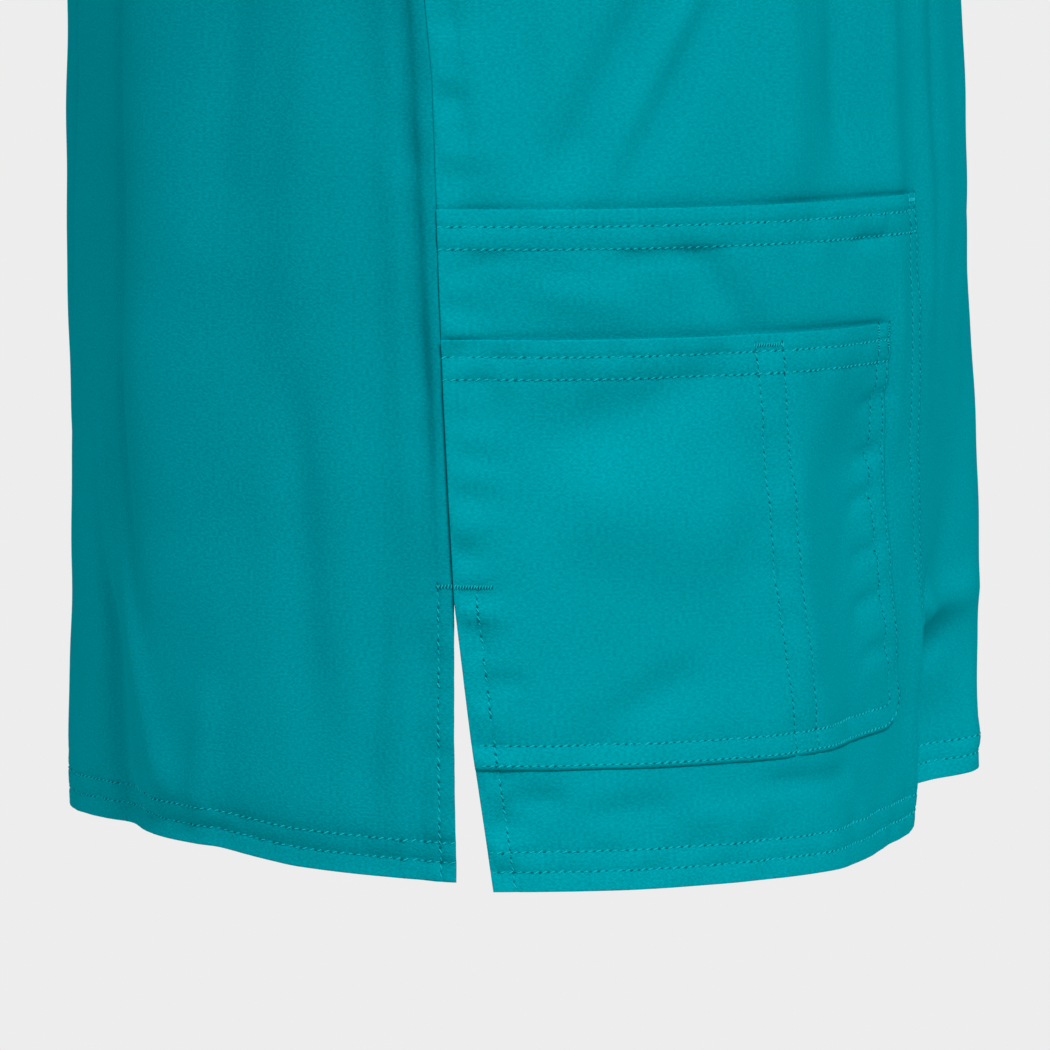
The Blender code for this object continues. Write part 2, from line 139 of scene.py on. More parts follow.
# Creases pressed and worn into the cloth, in millimetres: q runs from the centre line, negative on the
# wearer's right, and h from the hem up.
FRONT_CREASES = (
    # q_start, h_start, q_end, h_end, half_width, lift (negative is a trough)
    (-208, 306, -262, 210, 11, -5.2),
    (-203, 292, -246, 214, 9, 2.0),
    (-190, 296, -238, 212, 9, -3.6),
    (-177, 325, -173, 200, 13, 3.6),
    (-150, 325, -145, 208, 13, -4.6),
    (-122, 320, -118, 180, 10, 2.8),
    (-99, 330, -87, 140, 8, 2.2),
    (-76, 330, -66, 140, 10, -3.2),
    (-40, 330, -36, 100, 14, 2.2),
    (-284, 300, -275, 212, 8, 2.2),
    (-262, 300, -264, 214, 8, -1.8),
    (-94, 104, -72, -14, 7, 3.0),
    (-64, 98, -46, -14, 10, -6.0),
    (-36, 80, -30, -30, 15, -3.0),
    (-76, 10, -2, 13, 46, -9.0),
    (-84, 51, -12, 57, 13, -3.2),
    (-160, 10, -84, 12, 40, -2.6),
    (-80, 70, 2, 75, 11, 3.5),
    (-312, 10, -84, 6, 34, -3.2),
    (310, 8, 84, 9, 34, -3.0),
    (205, 330, 238, 222, 12, -5.0),
    (222, 320, 254, 218, 9, 2.2),
    (150, 350, 168, 206, 14, 3.8),
    (118, 340, 128, 208, 13, -4.2),
    (82, 330, 92, 150, 11, 2.8),
    (56, 330, 66, 140, 11, -3.2),
    (28, 300, 36, 40, 16, 2.6),
    (86, 104, 64, -14, 9, 2.6),
    (56, 100, 42, -14, 12, -4.2),
    (284, 300, 276, 214, 8, 2.0),
    (286, 60, 276, 63, 2.6, -1.2),
    (284, 38, 273, 40, 2.6, -0.8),
    (-262, 474, -130, 374, 17, -6.4),
    (-266, 455, -185, 310, 15, 3.6),
    (-250, 440, -210, 300, 12, -4.0),
    (262, 476, 118, 392, 18, -6.0),
    (268, 452, 196, 322, 15, 3.4),
    (248, 430, 214, 310, 12, -3.6),
    (-116, 570, -56, 410, 15, -4.6),
    (-92, 560, -40, 430, 12, 2.4),
    (104, 562, 62, 420, 16, -4.4),
    (-152, 650, -122, 500, 13, 2.8),
    (-132, 640, -104, 520, 10, -2.8),
    (152, 650, 130, 496, 13, 2.8),
    (-24, 490, 12, 350, 17, -3.4),
    (34, 440, -14, 290, 18, 3.0),
    (64, 400, 30, 280, 13, -2.8),
    # over the large pockets
    (-242, 199, -196, 200, 4, -1.8),
    (-286, 199, -264, 199, 3, -1.3),
    (-150, 201, -122, 202, 3.6, -1.6),
    (-216, 207, -182, 164, 10, -2.6),
    (-268, 190, -222, 184, 9, 1.6),
    (-120, 202, -112, 120, 7, 1.6),
    (-280, 31, -256, 28, 5, -2.0),
    (-256, 24, -218, 27, 6, -1.4),
    (-198, 32, -134, 27, 6, -2.8),
    (-222, 24, -184, 18, 8, 1.6),
    (242, 198, 202, 200, 4, -1.9),
    (172, 201, 136, 200, 4, -1.5),
    (262, 126, 196, 94, 26, 4.0),
    (184, 190, 150, 52, 15, -3.8),
    (270, 154, 206, 172, 12, -2.8),
    (258, 28, 222, 22, 7, -2.0),
    (192, 31, 148, 24, 6, -2.2),
    # over the small pocket, with the gathers beside its free edge
    (-186, 170, -270, 138, 15, -3.4),
    (-262, 124, -188, 112, 28, 4.4),
    (-140, 176, -131, 2, 44, -9.5),
    (-176, 160, -172, 34, 18, 2.8),
    (-208, 74, -262, 38, 12, -2.8),
    (-116, 152, -140, 147, 3.6, -1.5),
    (-117, 134, -136, 130, 3.2, -1.2),
    (-117, 120, -138, 114, 3.4, -1.7),
    (-114, 102, -136, 97, 3.2, -1.6),
    (-112, 86, -135, 80, 3.4, -1.8),
    (-107, 69, -130, 64, 3.4, -1.6),
    (-104, 55, -126, 48, 3.6, -1.7),
    (-289, 74, -277, 77, 2.6, -1.8),
    (-286, 64, -268, 67, 3.0, -1.7),
    (-284, 50, -272, 54, 2.6, -1.3),
)


def column_of(rows, column):
    return np.array([row[column] for row in rows])


def straight(rows, column, place):
    """One column of a table at a place between its rows, by straight lines."""
    return np.interp(place, column_of(rows, 0), column_of(rows, column))


def eased(rows, column, place):
    """One column of a table at a place between its rows, by a cubic that passes through every row."""
    places, values = column_of(rows, 0), column_of(rows, column)
    slopes = np.gradient(values, places)
    i = np.clip(np.searchsorted(places, place, side="right") - 1, 0, len(places) - 2)
    span = places[i + 1] - places[i]
    t = np.clip((place - places[i]) / span, 0, 1)
    start = (1 + 2 * t) * (1 - t) ** 2 * values[i] + t * (1 - t) ** 2 * span * slopes[i]
    end = t * t * (3 - 2 * t) * values[i + 1] + t * t * (t - 1) * span * slopes[i + 1]
    return start + end


def signed_power(value, power):
    return np.sign(value) * np.abs(value) ** power


def smooth_step(t):
    t = np.clip(t, 0, 1)
    return t * t * (3 - 2 * t)


def height_share(level):
    """How far up from the underarm to the shoulder line a level above the underarm lies."""
    return np.sin(np.radians(90 * np.asarray(level)))


def level_of_share(share):
    """Level above the underarm of a height share, the reverse of height_share."""
    return np.degrees(np.arcsin(share)) / 90


def shoulder_z(x):
    """Height of the shoulder line. It is level inside the neckband."""
    return -SHOULDER_SLOPE * (np.maximum(np.abs(x), NECK_HALF_WIDTH - BAND_WIDTH) - NECK_HALF_WIDTH)


def centre_share(drop):
    """Height share of a place on the centre line, this far below the origin."""
    return (ARMHOLE_DEPTH - drop) / (ARMHOLE_DEPTH + shoulder_z(0))


def ring_sizes(turn, level):
    """Half width, depth and squareness of the body's ring at a level, on the front or the back."""
    z = np.where(level <= 0, UNDERARM_Z + level, UNDERARM_Z * (1 - level))
    front = turn > 0
    depth = np.where(front, eased(BODY_RINGS, 2, z), eased(BODY_RINGS, 3, z))
    square = np.where(front, eased(BODY_RINGS, 4, z), eased(BODY_RINGS, 5, z))
    return eased(BODY_RINGS, 1, z), depth, square


def fold_depth(side, turn, z):
    """How far the long folds push the cloth out, or in where it is negative."""
    total = np.zeros(np.shape(turn))
    for fold_side, centre, to_side, to_centre, top, depth in LONG_FOLDS:
        beyond = np.abs(turn) - abs(centre)
        off = beyond / np.where(beyond > 0, to_centre, to_side)
        here = (fold_side == side) & (turn * centre > 0) & (np.abs(off) < 1)
        total += here * depth * smooth_step((top - z) / (top - HEM_Z)) * (1 + np.cos(np.pi * off)) / 2
    return total


def cloth_point(side, panel, turn, level):
    """Point of the outer face of the cloth, without its creases."""
    turn, level = np.broadcast_arrays(np.asarray(turn, float), np.asarray(level, float))
    width, depth, square = ring_sizes(turn, level)
    x = width * signed_power(np.cos(np.radians(turn)), 2 / square)
    y = -depth * signed_power(np.sin(np.radians(turn)), 2 / square)
    upper_z = UNDERARM_Z + (shoulder_z(x) - UNDERARM_Z) * height_share(level)
    upper = np.stack([side * x, y * np.cos(np.radians(90 * level)), upper_z], -1)
    z = UNDERARM_Z + level
    out_x, out_y = x / width**2, y / depth**2
    pushed = fold_depth(side, turn, z) / np.hypot(out_x, out_y)
    rise = straight(HEM_RISE[panel], 1, turn) * smooth_step((SLIT_TOP_Z - z) / SLIT_LENGTH)
    lower = np.stack([side * (x + out_x * pushed), y + out_y * pushed, z + rise], -1)
    return np.where((level > 0)[..., None], upper, lower)


def cloth_normal(side, panel, turn, level):
    """Outward direction of the cloth, without its creases."""
    across = cloth_point(side, panel, turn + 0.5, level) - cloth_point(side, panel, turn - 0.5, level)
    up = cloth_point(side, panel, turn, level + 0.004) - cloth_point(side, panel, turn, level - 0.004)
    normal = np.cross(up, across) * side
    return normal / np.linalg.norm(normal, axis=-1, keepdims=True)


def side_turn(side, panel, level):
    """Turn of a panel's side edge: its side seam or vent, and its armhole above the underarm."""
    column = (1 if side == RIGHT else 3) + (0 if panel == "front" else 1)
    apart = SEAM_GAP / 2 if panel == "back" else -SEAM_GAP / 2
    behind = straight(SIDE_EDGES, column, UNDERARM_Z + level) + apart
    _, depth, square = ring_sizes(np.full(level.shape, -1.0), level)
    lower = -np.degrees(np.arcsin((behind / depth) ** (square / 2)))
    return np.where(level > 0, straight(ARMHOLE, 1 if panel == "front" else 2, level), lower)


def turn_at(panel, x, level):
    """Turn of the place on a panel that lies this far from the middle plane."""
    width, _, square = ring_sizes(np.full(np.shape(level), 1.0 if panel == "front" else -1.0), level)
    turn = np.degrees(np.arccos(np.clip(x / width, 0, 1) ** (square / 2)))
    return turn if panel == "front" else -turn


NECK_SHARES = {"front": centre_share(NECK_FRONT_DROP), "back": centre_share(NECK_BACK_DROP)}
NECK_LEVELS = {panel: float(level_of_share(share)) for panel, share in NECK_SHARES.items()}
NECK_CURVES = {"front": 1.0, "back": 0.45}  # 1 is straight, and less is rounder


def neck_place(panel, part, half_width, lowest):
    """Distance from the centre line and height share of a neck edge, part of the way up from its lowest."""
    return half_width * part ** NECK_CURVES[panel], lowest + part * (1 - lowest)


def neck_part(panel, level):
    """How far up a neck edge a level lies, from 0 at its lowest point to 1 at the shoulder seam."""
    lowest = NECK_SHARES[panel]
    part = (height_share(level) - lowest) / (1 - lowest)
    return np.where(level > NECK_LEVELS[panel], part, 0.0)


def centre_turn(panel, level):
    """Turn of a panel's centre line, and of its neck edge above that."""
    x, _ = neck_place(panel, neck_part(panel, level), NECK_HALF_WIDTH, NECK_SHARES[panel])
    centre = 90.0 if panel == "front" else -90.0
    return np.where(level <= NECK_LEVELS[panel], centre, turn_at(panel, x, level))


def height_of(level):
    """Length of cloth from the hem up to a level."""
    return UNDERARM_HEIGHT + np.where(level > 0, SHOULDER_RUN * level, level)


def creases(table, q, h):
    """Lift of the cloth by its creases, each a soft trough or ridge that dies out towards both ends."""
    q, h = q * 1000, h * 1000
    lift = np.zeros(np.shape(q))
    for q_start, h_start, q_end, h_end, half_width, height in table:
        run_q, run_h = q_end - q_start, h_end - h_start
        length = math.hypot(run_q, run_h)
        along = ((q - q_start) * run_q + (h - h_start) * run_h) / length**2
        off = ((q - q_start) * run_h - (h - h_start) * run_q) / length
        width = half_width * (0.75 + 0.5 * np.clip(along, 0, 1))
        body = np.clip((0.5 - np.abs(along - 0.5)) * 3.4, 0, 1)
        lift += height * smooth_step(body) * np.exp(-((off / width * 1.5) ** 2))
    return lift / 1000


def ripple(q, h, seed, height, size):
    """Slow unevenness of hanging cloth: a few crossed waves of about one size, with fixed random phases."""
    dice = np.random.default_rng(seed)
    total = np.zeros(np.shape(q))
    for _ in range(7):
        angle = dice.uniform(0, np.pi)
        length = size * dice.uniform(0.7, 1.6)
        waves = (q * math.cos(angle) + h * math.sin(angle)) / length
        total += np.sin(2 * np.pi * (waves + dice.uniform()))
    return height * total / 7


def puckers(run, off, seed, height, reach):
    """Small uneven gathers that a line of stitches pulls into the cloth on both sides of it."""
    dice = np.random.default_rng(seed)
    total = 0.0
    for _ in range(9):
        total = total + np.sin(2 * np.pi * (run / dice.uniform(0.007, 0.034) + dice.uniform())
                               + off / reach * dice.uniform(-1.5, 1.5))
    return height * total / 9 * np.exp(-((off / reach) ** 2))


def groove(off, depth=0.00038, half_width=0.0010):
    """Dent along a line of stitches."""
    return -depth * np.exp(-((off / half_width) ** 2))


def leaning(side, share, level):
    """Share of the front's width that a column takes at a level: it leans towards the centre at the hem."""
    fallen = np.clip((POCKET_TOP_H - UNDERARM_HEIGHT - level) / POCKET_TOP_H, 0, 1)
    lean = 1 if side == RIGHT else LEFT_LEAN
    return share + eased(COLUMN_LEAN, 1, share) * fallen**LEAN_CURVE * lean


def on_cloth(side, panel, level, share, metres=0.0):
    """Places on the cloth at a level, a share of its width plus some metres away from its side edge.

    Gives the points, their outward directions, and the distances from the side edge and the centre edge.
    """
    level, share, metres = np.broadcast_arrays(*(np.asarray(v, float) for v in (level, share, metres)))
    rows, row_of = np.unique(level, return_inverse=True)
    row_of = row_of.reshape(level.shape)
    first, last = side_turn(side, panel, rows), centre_turn(panel, rows)
    turns = first[:, None] + (last - first)[:, None] * np.linspace(0, 1, 81)
    ring = cloth_point(side, panel, turns, rows[:, None])
    run = np.cumsum(np.linalg.norm(np.diff(ring, axis=1), axis=2), axis=1)
    run = np.concatenate([np.zeros((len(rows), 1)), run], axis=1)
    width = run[:, -1][row_of]
    column = leaning(side, share, level) if panel == "front" else share
    from_side = np.clip(column * width + metres, 0, width)
    turn = np.empty(level.shape)
    for i in range(len(rows)):
        here = row_of == i
        turn[here] = np.interp(from_side[here], run[i], turns[i])
    points = cloth_point(side, panel, turn, level)
    shift = SEAM_GAP / 2 * (-1 if panel == "front" else 1)
    points[..., 1] += np.where(level == 1, shift, 0)
    return points, cloth_normal(side, panel, turn, level), from_side, width - from_side


def edge_roll(distance, wall):
    """How far each face of the wall sinks towards its middle near an edge, so that the edge is round."""
    short = np.clip(1 - distance / (wall * 0.6), 0, 0.97)
    return wall / 2 * (1 - np.sqrt(1 - short**2))


def wall_grids(points, normals, lift, near_edge, wall, flat):
    """Outer and inner points and flat places of a patch of cloth."""
    roll = edge_roll(near_edge, wall)
    outer = points + normals * (lift - roll)[..., None]
    inner = points + normals * (lift - wall + roll)[..., None]
    return outer, inner, flat


def placed(name, data):
    """Object in the scene."""
    item = bpy.data.objects.new(name, data)
    bpy.context.scene.collection.objects.link(item)
    return item


def cloth_piece(name, patches, finish):
    """One closed wall of cloth from its patches, sewn together where they share points."""
    outer = np.concatenate([patch[0].reshape(-1, 3) for patch in patches])
    inner = np.concatenate([patch[1].reshape(-1, 3) for patch in patches])
    flat = np.concatenate([patch[2].reshape(-1, 2) for patch in patches])
    cells, first = [], 0
    for points, _, _ in patches:
        rows, columns = points.shape[:2]
        grid = first + np.arange(rows * columns).reshape(rows, columns)
        quads = np.stack([grid[:-1, :-1], grid[:-1, 1:], grid[1:, 1:], grid[1:, :-1]], -1).reshape(-1, 4)
        facing = np.cross(outer[quads[:, 2]] - outer[quads[:, 0]], outer[quads[:, 3]] - outer[quads[:, 1]])
        outward = np.sum(facing * (outer - inner)[quads[:, 0]]) > 0
        cells.append(quads if outward else quads[:, ::-1])
        first += rows * columns
    cells = np.concatenate(cells)
    # Points of two patches that coincide become one. Adding 0.0 makes -0.0 the same as 0.0.
    _, kept, merged = np.unique(np.round(outer, 6) + 0.0, axis=0, return_index=True, return_inverse=True)
    merged = merged.reshape(-1)
    count = len(kept)
    faces = merged[cells]
    starts, ends = faces.reshape(-1), np.roll(faces, -1, axis=1).reshape(-1)
    flat_starts, flat_ends = cells.reshape(-1), np.roll(cells, -1, axis=1).reshape(-1)
    # An edge that no neighbouring face runs along the other way lies on the rim.
    rim = ~np.isin(starts * count + ends, ends * count + starts)
    rim_faces = np.stack([ends[rim], starts[rim], starts[rim] + count, ends[rim] + count], -1)
    rim_flat = np.stack([flat_ends[rim], flat_starts[rim], flat_starts[rim], flat_ends[rim]], -1)
    all_faces = np.concatenate([faces, faces[:, ::-1] + count, rim_faces])
    all_flat = np.concatenate([cells, cells[:, ::-1], rim_flat])
    mesh = bpy.data.meshes.new(name)
    mesh.from_pydata(np.concatenate([outer[kept], inner[kept]]).tolist(), [], all_faces.tolist())
    layer = mesh.uv_layers.new(name="cut_cloth")
    layer.data.foreach_set("uv", flat[all_flat.reshape(-1)].reshape(-1))
    mesh.shade_smooth()
    mesh.materials.append(finish)
    return placed(name, mesh)


def spread(*groups):
    """Sorted rows or columns from several groups, none closer to the one before than a twentieth of a mm."""
    places = np.unique(np.concatenate([np.atleast_1d(group) for group in groups]))
    return places[np.append(True, np.diff(places) > 0.00005)]


def around(*lines):
    """Rows of points across each of some stitch lines."""
    return np.add.outer(np.array(lines), np.array(STITCH_ROWS)).reshape(-1)


def body_levels(panel):
    """Levels of the rows of points, closer at the hem, the stitch lines and the shoulder seam."""
    edge = np.array(EDGE_ROWS)
    mouth = POCKET_TOP_H + np.append(-0.001, MOUTH_ROWS) if panel == "front" else ()
    heights = spread(edge, NEAR_ROWS, around(*HEM_LINES), (0.009, 0.016, 0.019), mouth,
                     np.arange(0.023, FINE_TOP, FINE_GRID),
                     np.arange(FINE_TOP + 0.004, UNDERARM_HEIGHT - WIDE_GRID / 2, WIDE_GRID))
    near_seam = np.append(edge, NEAR_ROWS[:2]) / RUN_AT_SHOULDER
    upper = spread(np.linspace(0, 1, 50), NECK_LEVELS[panel], 1 - near_seam)
    return np.concatenate([heights - UNDERARM_HEIGHT, upper])


def width_columns(lines_at_side):
    """Shares and metres of the columns of points, closer at the side edge and at the centre edge."""
    near_side = spread(EDGE_ROWS, NEAR_ROWS, around(*lines_at_side), (0.010, 0.0125))
    near_centre = np.append(EDGE_ROWS, (0.0015, 0.003, 0.006))[::-1]
    middle = np.linspace(0, 1, 75)[1:-1]
    share = np.concatenate([np.zeros(len(near_side)), middle, np.ones(len(near_centre))])
    across = near_side[-1] * (1 - middle) - near_centre[0] * middle
    metres = np.concatenate([near_side, across, -near_centre])
    return share, metres


def seam_fade(level, from_side, reach=0.018):
    """1 in the open cloth, 0 at the side seam, armhole and shoulder seam, which other pieces join."""
    fade = np.where(level > SLIT_TOP_Z - UNDERARM_Z - 0.012, smooth_step(from_side / reach), 1)
    return fade * np.where(level > 0, smooth_step((1 - level) * SHOULDER_RUN / reach), 1)


def seam_ridge(h, from_side, reach):
    """Low ridge over the side seam, whose turned allowances lie behind it, on either panel."""
    along = smooth_step((h - SLIT_LENGTH - 0.004) / 0.03) * smooth_step((UNDERARM_HEIGHT - 0.01 - h) / 0.05)
    return (0.0026 + 0.0008 * np.sin(h * 41)) * along * np.exp(-((from_side / reach) ** 2))


def neck_distance(panel, level, from_centre):
    """Distance from the neck edge, and a large one below it."""
    return np.where(level > NECK_LEVELS[panel], from_centre, 1.0)


def edge_distance(panel, level, from_side, from_centre):
    """Distance to the nearest cut edge of a panel."""
    hem = np.where(level < 0, level + UNDERARM_HEIGHT, 1.0)
    shoulder = np.where(level > 0, (1 - level) * RUN_AT_SHOULDER, 1.0)
    return np.minimum.reduce([from_side, hem, shoulder, neck_distance(panel, level, from_centre)])


def turned_edge(run, off, lines, seed, height):
    """Turned edge: the slight step of its doubled cloth, its stitch lines and the gathers along them."""
    lift = TURN_STEP * smooth_step((TURN_DEPTH - off) / 0.001)
    for i, line in enumerate(lines):
        lift = lift + groove(off - line) + puckers(run, off - line, seed + i, height, 0.005)
    return lift


def slit_relief(panel, h, from_side, seed):
    """Turned vent: its stitch line and stronger gathers."""
    below = smooth_step((SLIT_LENGTH + 0.006 - h) / 0.004)
    off = from_side - SLIT_LINE[panel]
    return below * (groove(off) + puckers(h, off, seed, 0.0018, 0.0065))


def edge_beyond(share, place):
    """Distance from a place on the front to the free edge of a pocket, negative outside it.

    A place is its side, its level, and its distances from the side edge and from the centre edge.
    """
    side, level, from_side, from_centre = place
    return leaning(side, share, level) * (from_side + from_centre) - from_side


def pressed_by(share, top, place):
    """Dent that the mouth of a pocket leaves in the cloth behind it, so that its edge stands clear."""
    _, level, from_side, _ = place
    inside = smooth_step(edge_beyond(share, place) / 0.006)
    inside = inside * (0.0002 + 0.0005 * smooth_step((from_side - 0.09) / 0.05))
    return -inside * np.exp(-(((height_of(level) - top) / 0.0016) ** 2))


def front_relief(place):
    """Lift of the front's cloth by its creases, ripples, gathers and seams, and by the pocket's mouth."""
    side, level, from_side, from_centre = place
    q, h = side * from_centre, height_of(level)
    open_cloth = seam_fade(level, from_side)
    neck = smooth_step(neck_distance("front", level, from_centre) / 0.02)
    lift = creases(FRONT_CREASES, q, h) * np.where(h < 0.1, 1, open_cloth) * neck
    lift += ripple(q, h, 11, 0.0022, 0.11) * open_cloth * neck
    lift += ripple(q, h, 12, 0.0005, 0.034) * open_cloth * neck
    lift += turned_edge(q, h, HEM_LINES, 20, 0.0011) + slit_relief("front", h, from_side, 30 + side)
    gathered = smooth_step(from_side / 0.003) * (1 - 0.75 * smooth_step((level + 0.03) / 0.05))
    lift += puckers(h, from_side - 0.003, 40 + side, 0.0026, 0.011) * gathered
    lift += seam_ridge(h, from_side, 0.007)
    return lift + pressed_by(POCKET_SHARE, POCKET_TOP_H, place)


def panel_patches(panel, relief):
    """The right and the left half of a panel."""
    share, metres = width_columns((SLIT_LINE[panel],))
    level, share = np.meshgrid(body_levels(panel), share, indexing="ij")
    patches = []
    for side in (RIGHT, LEFT):
        points, normals, from_side, from_centre = on_cloth(side, panel, level, share, metres)
        lift = relief((side, level, from_side, from_centre))
        near = edge_distance(panel, level, from_side, from_centre)
        flat = np.stack([side * from_centre, height_of(level)], -1)
        patches.append(wall_grids(points, normals, lift, near, CLOTH_WALL, flat))
    return patches


def linear(hex_colour):
    """sRGB hex colour as linear RGBA."""
    shares = [int(hex_colour[i:i + 2], 16) / 255 for i in (1, 3, 5)]
    return [s / 12.92 if s <= 0.04045 else ((s + 0.055) / 1.055) ** 2.4 for s in shares] + [1.0]


def add_node(tree, kind, inputs=None, **settings):
    """Adds a node, sets it, and gives each named or numbered input its value or its link."""
    node = tree.nodes.new(kind)
    for name, value in settings.items():
        setattr(node, name, value)
    for socket, value in (inputs or {}).items():
        if isinstance(value, bpy.types.NodeSocket):
            tree.links.new(value, node.inputs[socket])
        else:
            node.inputs[socket].default_value = value
    return node


def new_finish(name):
    """Material with an empty node tree."""
    finish = bpy.data.materials.new(name)
    finish.use_nodes = True
    finish.node_tree.nodes.clear()
    return finish, finish.node_tree


def surface(tree, settings):
    """Ends a finish with its shader."""
    shader = add_node(tree, "ShaderNodeBsdfPrincipled", settings)
    add_node(tree, "ShaderNodeOutputMaterial", {"Surface": shader.outputs[0]})


def dyed_twill(name, dye, shade):
    """Polyester-cotton twill, piece-dyed and calendered.

    It is matt with a soft sheen along its filling, and its short raised floats give it a fine slanted grain.
    """
    finish, tree = new_finish(name)
    place = add_node(tree, "ShaderNodeUVMap", uv_map="cut_cloth").outputs["UV"]
    # The real floats are 0.35 mm long, and are drawn about 1 mm long so that they show.
    drawn = add_node(tree, "ShaderNodeMapping", {"Vector": place, "Scale": (1 / 0.00115, 1 / 0.00070, 1)})
    floats = add_node(tree, "ShaderNodeTexNoise", {"Vector": drawn.outputs[0], "Scale": 1.0, "Detail": 1.0,
                                                   "Roughness": 0.5}, noise_dimensions="2D")
    slant = add_node(tree, "ShaderNodeMapping", {"Vector": place, "Rotation": (0, 0, math.radians(-38))})
    wale_pitch = 0.0008
    wale = add_node(tree, "ShaderNodeTexWave", {"Vector": slant.outputs[0], "Scale": 0.314 / wale_pitch,
                                                "Distortion": 2.2, "Detail": 2.0, "Detail Scale": 1.6},
                    wave_type="BANDS", bands_direction="Y")
    cloudy = add_node(tree, "ShaderNodeTexNoise", {"Vector": place, "Scale": 1 / 0.012, "Detail": 3.0},
                      noise_dimensions="2D")
    grain = add_node(tree, "ShaderNodeMix", {0: 0.88, 2: wale.outputs["Fac"], 3: floats.outputs["Fac"]},
                     data_type="FLOAT")
    tone = add_node(tree, "ShaderNodeMix", {0: 0.07, 2: grain.outputs[0], 3: cloudy.outputs["Fac"]},
                    data_type="FLOAT")
    ramp = add_node(tree, "ShaderNodeMapRange", {"Value": tone.outputs[0], "From Min": 0.28,
                                                 "From Max": 0.72})
    colour = add_node(tree, "ShaderNodeMix", {0: ramp.outputs[0], 6: linear(shade), 7: linear(dye)},
                      data_type="RGBA")
    bump = add_node(tree, "ShaderNodeBump", {"Height": grain.outputs[0], "Strength": 0.3,
                                             "Distance": 0.0003})
    surface(tree, {"Base Color": colour.outputs[2], "Normal": bump.outputs[0], "Roughness": 0.7,
                   "Specular IOR Level": 0.0, "Sheen Weight": 0.10, "Sheen Roughness": 0.45,
                   "Sheen Tint": linear("#00C4D0")})
    return finish


twill = dyed_twill("polyester_cotton_twill", "#00A3B0", "#008F9B")

front = cloth_piece("front_cloth", panel_patches("front", front_relief), twill)
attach(front, "root")
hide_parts("front_panel")


# ----------------------------------------------------------------------------------------------- back panel
# The back is one piece of the same twill, with a shallow round neck. It is sewn to the front down both sides
# as far as the vents, and its hem is turned and stitched like the front's.

BACK_CREASES = (
    # q_start, h_start, q_end, h_end, half_width, lift in millimetres
    (-229, 330, -247, 84, 5.5, -3.8),
    (-232, 250, -236, 222, 6, -1.6),
    (-240, 184, -243, 150, 5, -1.4),
    (-220, 320, -236, 40, 15, -3.0),
    (-138, 470, -142, 20, 40, 7.0),
    (-112, 420, -114, 100, 13, -2.6),
    (-108, 175, -134, 60, 9, -2.0),
    (-86, 150, -110, 60, 8, 1.6),
    (-114, 110, -152, -10, 11, 2.6),
    (-94, 110, -108, -30, 15, -4.0),
    (-170, 66, -158, -14, 10, 2.4),
    (-205, 300, -196, 150, 13, 1.8),
    (-178, 330, -168, 190, 13, -2.4),
    (-198, 170, -208, 30, 12, -2.6),
    (-230, 104, -226, 6, 7, -2.2),
    (-246, 92, -243, -8, 4, -2.0),
    (-268, 5, -146, 3, 15, -3.4),
    (-182, 3, -92, 8, 13, -2.8),
    (-104, 7, -50, 6, 12, -0.9),
    (-48, 6, 60, 4, 14, -2.2),
    (4, 4, 134, 6, 15, -2.6),
    (106, 5, 268, 4, 14, -3.0),
    (-40, 430, -30, 120, 17, -3.6),
    (18, 460, 8, 90, 19, 3.2),
    (46, 440, 40, 60, 12, -2.6),
    (76, 440, 88, 60, 13, -5.2),
    (128, 400, 120, 40, 15, 3.2),
    (185, 380, 176, 60, 16, -3.2),
    (234, 470, 244, 80, 6, -3.8),
    (-214, 482, -66, 396, 17, -5.6),
    (-190, 470, -96, 360, 13, 2.8),
    (214, 486, 72, 386, 18, -5.4),
    (186, 470, 84, 350, 13, 2.8),
    (-152, 606, -128, 460, 12, -3.8),
    (150, 616, 134, 470, 12, -3.6),
    (-128, 590, -108, 470, 10, 2.2),
    (-64, 692, 0, 636, 13, -2.4),
    (68, 692, 10, 642, 13, -2.2),
    (-10, 630, 6, 470, 17, 3.0),
)


def back_relief(place):
    """Lift of the back's cloth by its creases, ripples, gathers and seams."""
    side, level, from_side, from_centre = place
    q, h = side * from_centre, height_of(level)
    open_cloth = seam_fade(level, from_side, 0.005)
    neck = smooth_step(neck_distance("back", level, from_centre) / 0.02)
    lift = creases(BACK_CREASES, q, h) * np.where(h < 0.09, 1, open_cloth) * neck
    lift += ripple(q, h, 13, 0.0020, 0.12) * open_cloth * neck
    lift += ripple(q, h, 14, 0.0006, 0.04) * open_cloth * neck
    lift += turned_edge(q, h, HEM_LINES, 50, 0.0011) + slit_relief("back", h, from_side, 60 + side)
    lift += puckers(h, from_side - 0.003, 70 + side, 0.0010, 0.008) * smooth_step(from_side / 0.003)
    return lift + seam_ridge(h, from_side, 0.014)


# The back gets a darker copy of the twill: painted shade, for the weaker light that falls on the back.
painted_shade_back_twill = dyed_twill("polyester_cotton_twill_painted_shade", "#0099A6", "#008692")

back = cloth_piece("back_cloth", panel_patches("back", back_relief), painted_shade_back_twill)
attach(back, "root")
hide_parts("back_panel")

# --------------------------------------------------------------------------- topstitching of the back panel
# Spun polyester thread in lockstitches of 2.65 mm. The thread is coloured brighter than the cloth as a
# painted highlight, and a dark bead between each two stitches is painted shade in the needle hole. Two rows
# run along the hem and each shoulder seam, one beside vents, armholes and neck.

STITCH_PITCH = 0.00265
THREAD = 0.00046  # drawn a little thicker than the real 0.3 mm, so that it shows
SEAM_LINE = 0.0022  # stitch line beside an armhole or the neck
SHOULDER_LINES = (0.0018, 0.0082)  # stitch lines beside a shoulder seam


def spun_thread(name, dye):
    """Spun polyester sewing thread: round and glossier than the cloth, and coloured brighter than it as a
    painted highlight.
    """
    finish, tree = new_finish(name)
    surface(tree, {"Base Color": linear(dye), "Roughness": 0.6, "Specular IOR Level": 0.0,
                   "Sheen Weight": 0.1, "Sheen Tint": linear("#20D6E6")})
    return finish


